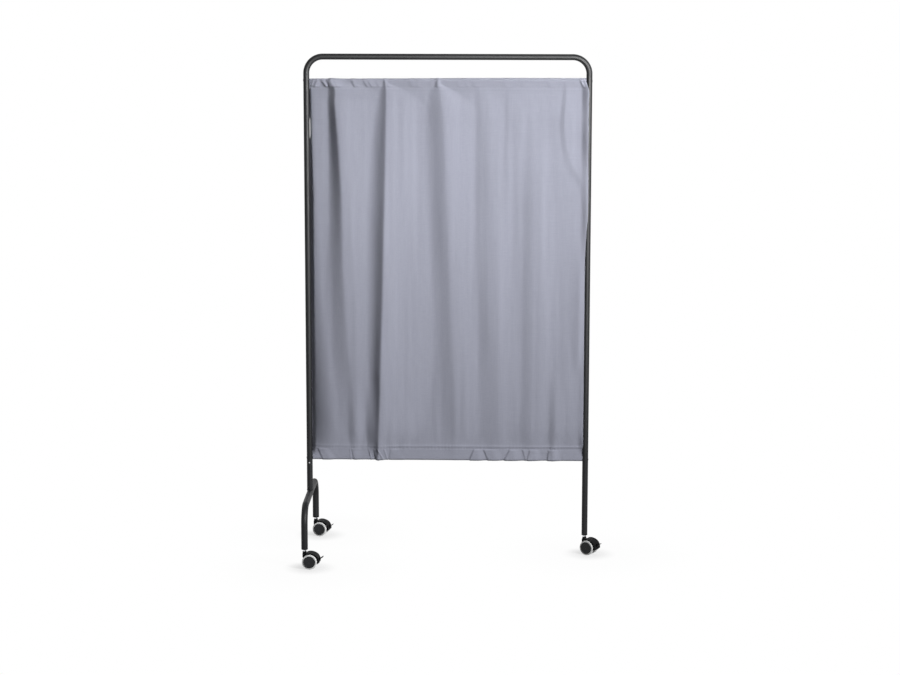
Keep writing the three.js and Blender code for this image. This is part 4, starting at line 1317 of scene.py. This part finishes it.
def standing(prefix):
    """Where a castor stands and which way it trails."""
    stem, axle = (Vector(joint(f"{prefix}_{kind}")["pos_m"]) for kind in ("swivel", "far_roll"))
    heading = math.atan2(axle.y - stem.y, axle.x - stem.x)
    return Matrix.Translation((stem.x, stem.y, 0)) @ Matrix.Rotation(heading, 4, "Z")


def in_metres(mesh):
    mesh.transform(Matrix.Scale(mm, 4))
    return mesh


print("Castors:", {prefix: [round(v, 4) for v in standing(prefix).translation] for prefix in castor_tubes})

# %% [markdown]
# ### Wheels
# A wheel is a stiff hub with a soft grey tread moulded round it and a cap that snaps into it and hides the
# axle's end. All three are bodies of revolution, so each is one outline turned about the axle. The tread's
# shoulder is well rounded on its outer side, which is the pale ring that one sees round the dark cap.

# %% Wheels
tread_outline = [
    (21.0, 8.0), (24.0, 8.0), (25.0, 10.0), (25.0, 18.4), (24.8, 20.6), (23.9, 21.5), (19.6, 21.55),
    (19.6, 21.2), (21.0, 21.1),
]
hub_outline = [
    (3.3, 7.2), (7.0, 7.2), (7.0, 8.3), (20.7, 8.3), (20.7, 21.0), (17.8, 21.0), (17.8, 11.4), (7.0, 11.4),
    (7.0, 20.0), (3.3, 20.0),
]
cap_outline = [
    (0.0, 21.6), (15.7, 21.6), (15.7, 16.3), (17.5, 16.3), (17.5, 21.6), (20.2, 21.6), (20.2, 22.3),
    (19.4, 22.9), (17.8, 22.9), (17.0, 22.4), (3.2, 22.7), (2.7, 22.4), (0.0, 22.4),
]


def wheel_part(name, outline, radius, sides, closed):
    mesh = turned(name, rounded(outline, radius, closed=closed), sides, closed=closed)
    mesh.transform(Matrix.Rotation(-math.pi / 2, 4, "X"))
    return in_metres(mesh)


wheel_parts = {
    "tyre": ("tread", "grey_tyre", wheel_part("tread", tread_outline, 1.0, 96, True)),
    "hub": ("rim", "hub_plastic", wheel_part("rim", hub_outline, 0.4, 64, True)),
    "cap": ("cover", "hub_plastic", wheel_part("cover", cap_outline, 0.35, 96, False)),
}
print("Wheel parts:", {node: len(mesh.polygons) for node, (_, _, mesh) in wheel_parts.items()})

# %% [markdown]
# ### Stem and tube plug
# The stem is turned steel. Its thin lower end snaps into the hood's neck, and a spring ring in the groove
# higher up grips the plug in the tube's end. The plug's flange covers the cut edge of the tube.

# %% Stem and tube plug
neck_top = 58.0
plug_low = 63.9
stem_outline = [
    (0.0, 40.0), (3.1, 40.0), (4.0, 40.9), (4.0, 43.5), (3.3, 43.5), (3.3, 45.7), (4.0, 45.7),
    (4.0, neck_top + 0.3), (5.5, neck_top + 0.3), (5.5, 73.7), (4.4, 73.7), (4.4, 76.1), (5.5, 76.1),
    (5.5, 85.0), (4.6, 85.9), (0.0, 85.9),
]
stem_mesh = in_metres(turned("stud", rounded(stem_outline, 0.25), 40, closed=False))


def tube_plug(tube):
    outer = tube / mm / 2
    inside = outer - tube_wall / mm - 0.3
    outline = [
        (6.4, plug_low), (outer - 0.7, plug_low), (outer, plug_low + 0.7), (outer, plug_low + 2.8),
        (inside, plug_low + 2.8), (inside, plug_low + 29.0), (inside - 0.8, plug_low + 30.0),
        (6.4, plug_low + 30.0),
    ]
    return in_metres(turned("tube_plug", rounded(outline, 0.45, closed=True), 56))


print("Stem faces:", len(stem_mesh.polygons))

# %% [markdown]
# ### Hood
# The hood is one moulding: a curved guard over both wheels, a web between them that carries the axle, and
# the neck for the stem. Plain solids are joined, the fork, window and holes are cut away, and the result is
# wrapped in fine voxels and smoothed a little. That gives every edge and inner corner the small radius
# that a mould gives it, which bevels on so many crossing shapes could not do.

# %% Outlines round the axle
def round_axle(radius, start, end, steps):
    """Points (x, z) of an arc round the axle. Its radius may change with the angle, in degrees."""
    points = []
    for degrees in np.linspace(start, end, steps + 1):
        reach = radius(degrees) if callable(radius) else radius
        angle = math.radians(degrees)
        points.append((trail + reach * math.cos(angle), wheel_radius + reach * math.sin(angle)))
    return points


def slab(outline, width):
    rows = [[(x, y, z) for x, z in outline] for y in (-width / 2, width / 2)]
    return skin("slab", rows, close_columns=True, caps=True)


def cross_bar(centre, radius, length):
    half = length / 2
    mesh = turned("cross_bar", [(0, -half), (radius, -half), (radius, half), (0, half)],
                  32, closed=False)
    mesh.transform(Matrix.Translation((centre[0], 0, centre[1])) @ Matrix.Rotation(math.pi / 2, 4, "X"))
    return mesh


print("Top of the wheel:", [round(v, 1) for v in round_axle(wheel_radius, 90, 90, 0)[0]])

# %% Moulding solids together
kept_share = 0.28  # of the faces that the voxels give
smoothing_rounds = 4
mould_angle = math.radians(60)  # an edge has to be sharper than this to be shaded as one


def moulded(name, solids, cuts, voxel):
    """Joins solids, cuts openings and rounds every edge by remeshing in small voxels."""
    parts = [bpy.data.objects.new(f"{name}_part", mesh) for mesh in solids + cuts]
    for part in parts:
        scene.collection.objects.link(part)
    base = parts[0]
    for number, part in enumerate(parts[1:], 1):
        step = base.modifiers.new(f"step_{number}", "BOOLEAN")
        step.object = part
        step.operation = "UNION" if number < len(solids) else "DIFFERENCE"
    wrap = base.modifiers.new("wrap", "REMESH")
    wrap.mode = "VOXEL"
    wrap.voxel_size = voxel
    soften = base.modifiers.new("soften", "SMOOTH")
    soften.iterations = smoothing_rounds
    thin = base.modifiers.new("thin", "DECIMATE")
    thin.ratio = kept_share
    result = bpy.data.meshes.new_from_object(base.evaluated_get(bpy.context.evaluated_depsgraph_get()))
    for part in parts:
        bpy.data.objects.remove(part)
    return tidy(in_metres(result), mould_angle)


print("Share of the faces that is kept:", kept_share)

# %% Outlines of the hood
guard_ends = (-5, 114)  # degrees round the axle, from the tail over the wheels to the neck
guard_width, web_width, gap_width = 39.0, 13.4, 9.2
axle_hole, pin_hole = 3.3, 1.6


def hood_fall(degrees):
    """The guard comes closer to the wheels on its way up to the neck."""
    t = min(max((degrees - 25) / 55, 0), 1)
    return t * t * (3 - 2 * t)


def guard_outside(degrees):
    return 33.0 - 2.8 * hood_fall(degrees)


def guard_inside(degrees):
    return 29.8 - 2.2 * hood_fall(degrees)


def web_rim(degrees):
    return guard_outside(degrees) - 1.3


pivot = round_axle(24.0, 6, 6, 0)[0]
guard_outline = round_axle(guard_outside, *guard_ends, 42) + round_axle(guard_inside, *guard_ends[::-1], 42)
web_outline = (round_axle(8.5, 190, 300, 12) + round_axle(web_rim, -3, 108, 30)
               + [(6.7, 51.6), (-6.7, 51.6), (-6.7, 38.3)])
neck_outline = [(0, 36.8), (7.0, 36.8), (7.0, neck_top - 0.9), (6.1, neck_top), (0, neck_top)]
socket_outline = [(0, 39.5), (4.5, 39.5), (4.5, neck_top + 2), (0, neck_top + 2)]
fork_outline = round_axle(29.8, -12, 24, 10) + round_axle(19.9, 24, -12, 10)
window_outline = round_axle(35.0, -9, 25, 10) + round_axle(26.6, 25, -9, 10)
print("Pedal's pin at", [round(v, 1) for v in pivot], "mm")

# %% Hood
hood_voxel = 0.4
hole_length = 20  # longer than the web is wide

hood_mesh = moulded(
    "mudguard",
    [slab(guard_outline, guard_width), slab(web_outline, web_width),
     turned("neck", neck_outline, 48, closed=False)],
    [turned("socket", socket_outline, 48, closed=False),
     slab(fork_outline, gap_width), slab(window_outline, gap_width),
     cross_bar((trail, wheel_radius), axle_hole, hole_length), cross_bar(pivot, pin_hole, hole_length)],
    hood_voxel,
)
print("Hood faces:", len(hood_mesh.polygons))

# %% [markdown]
# ### Brake pedal
# The pedal turns on a pin in the hood's fork. Its tab sticks out at the back for a foot, with ribs against
# slipping, and its wide shoe comes down on both treads. It is moulded the same way.

# %% Outlines of the brake pedal
tab_slope = math.radians(35.5)
tab_length = 13
tab_half = 1.3  # half its thickness
shoe_low, shoe_high = -14, -5  # degrees round the axle
shoe_inside, shoe_outside = 26.6, 29.2
eye_radius = 3.6  # of the arm's round end on the pin

tab_root = Vector(round_axle(34.5, 14.5, 14.5, 0)[0])
tab_along = Vector((math.cos(tab_slope), math.sin(tab_slope)))
tab_up = Vector((-tab_along.y, tab_along.x)) * tab_half
tab_tip = tab_root + tab_along * tab_length
eye_angles = [math.radians(a) for a in range(110, 251, 14)]
pivot_arc = [(pivot[0] + eye_radius * math.cos(a), pivot[1] + eye_radius * math.sin(a)) for a in eye_angles]
arm_outline = (
    pivot_arc + round_axle(shoe_inside, shoe_low, shoe_low, 0)
    + round_axle(shoe_outside, shoe_low, shoe_high, 3)
    + [tuple(tab_root - tab_up + tab_along * 2.6), tuple(tab_root + tab_up + tab_along * 2.6),
       tuple(tab_root + tab_up)]
)
tab_outline = [tuple(tab_root - tab_up), tuple(tab_tip - tab_up * 0.7), tuple(tab_tip + tab_along * 1.3),
               tuple(tab_tip + tab_up * 0.7), tuple(tab_root + tab_up)]
shoe_outline = (round_axle(shoe_outside, shoe_low, shoe_high, 6)
                + round_axle(shoe_inside, shoe_high, shoe_low, 6))
print("Pedal's tip at", [round(v, 1) for v in tab_tip], "mm")

# %% Brake pedal
pedal_voxel = 0.3
arm_width, tab_width, shoe_width = 8.2, 14.0, 36.0
rib_radius, rib_length = 0.6, 11.0
rib_places = [tab_root + tab_along * reach + tab_up * (1 - 0.3 * reach / tab_length)
              for reach in (5, 7.2, 9.4, 11.6)]

pedal_mesh = moulded(
    "treadle",
    [slab(arm_outline, arm_width), slab(tab_outline, tab_width), slab(shoe_outline, shoe_width)]
    + [cross_bar(place, rib_radius, rib_length) for place in rib_places],
    [cross_bar(pivot, pin_hole, hole_length)],
    pedal_voxel,
)
print("Pedal faces:", len(pedal_mesh.polygons))

# %% Setting the castors down
for prefix, tube in castor_tubes.items():
    place = standing(prefix)
    for name, mesh, body, slot, node in (
        ("stud", stem_mesh.copy(), "frame", "bright_steel", "stem"),
        ("tube_plug", tube_plug(tube), "frame", "black_nylon", "end_fitting"),
        ("mudguard", hood_mesh.copy(), f"{prefix}_castor", "black_nylon", "hood"),
        ("treadle", pedal_mesh.copy(), f"{prefix}_pedal", "black_nylon", "brake_pedal"),
    ):
        place_piece(f"{prefix}_{name}", mesh, body, slot, f"{prefix}_{node}", place=place)
    axle_place = place @ Matrix.Translation((trail * mm, 0, wheel_radius * mm))
    for side, angle in (("far", 0), ("near", math.pi)):
        wheel_place = axle_place @ Matrix.Rotation(angle, 4, "Z")
        for node, (name, slot, mesh) in wheel_parts.items():
            place_piece(f"{prefix}_{side}_{name}", mesh.copy(), f"{prefix}_{side}_wheel", slot,
                        f"{prefix}_{side}_{node}", place=wheel_place)

# %% [markdown]
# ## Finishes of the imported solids
# The grip rings, axles and pedal pins are small plain pins and rings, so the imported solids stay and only
# take the finish of their slot. The others that are covered by a piece take theirs as well.

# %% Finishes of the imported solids
for row in frame["record"]["subparts"]:
    for material_slot in frame["nodes"][row["node"]].material_slots:
        material_slot.material = finishes[row["material_slot"]]
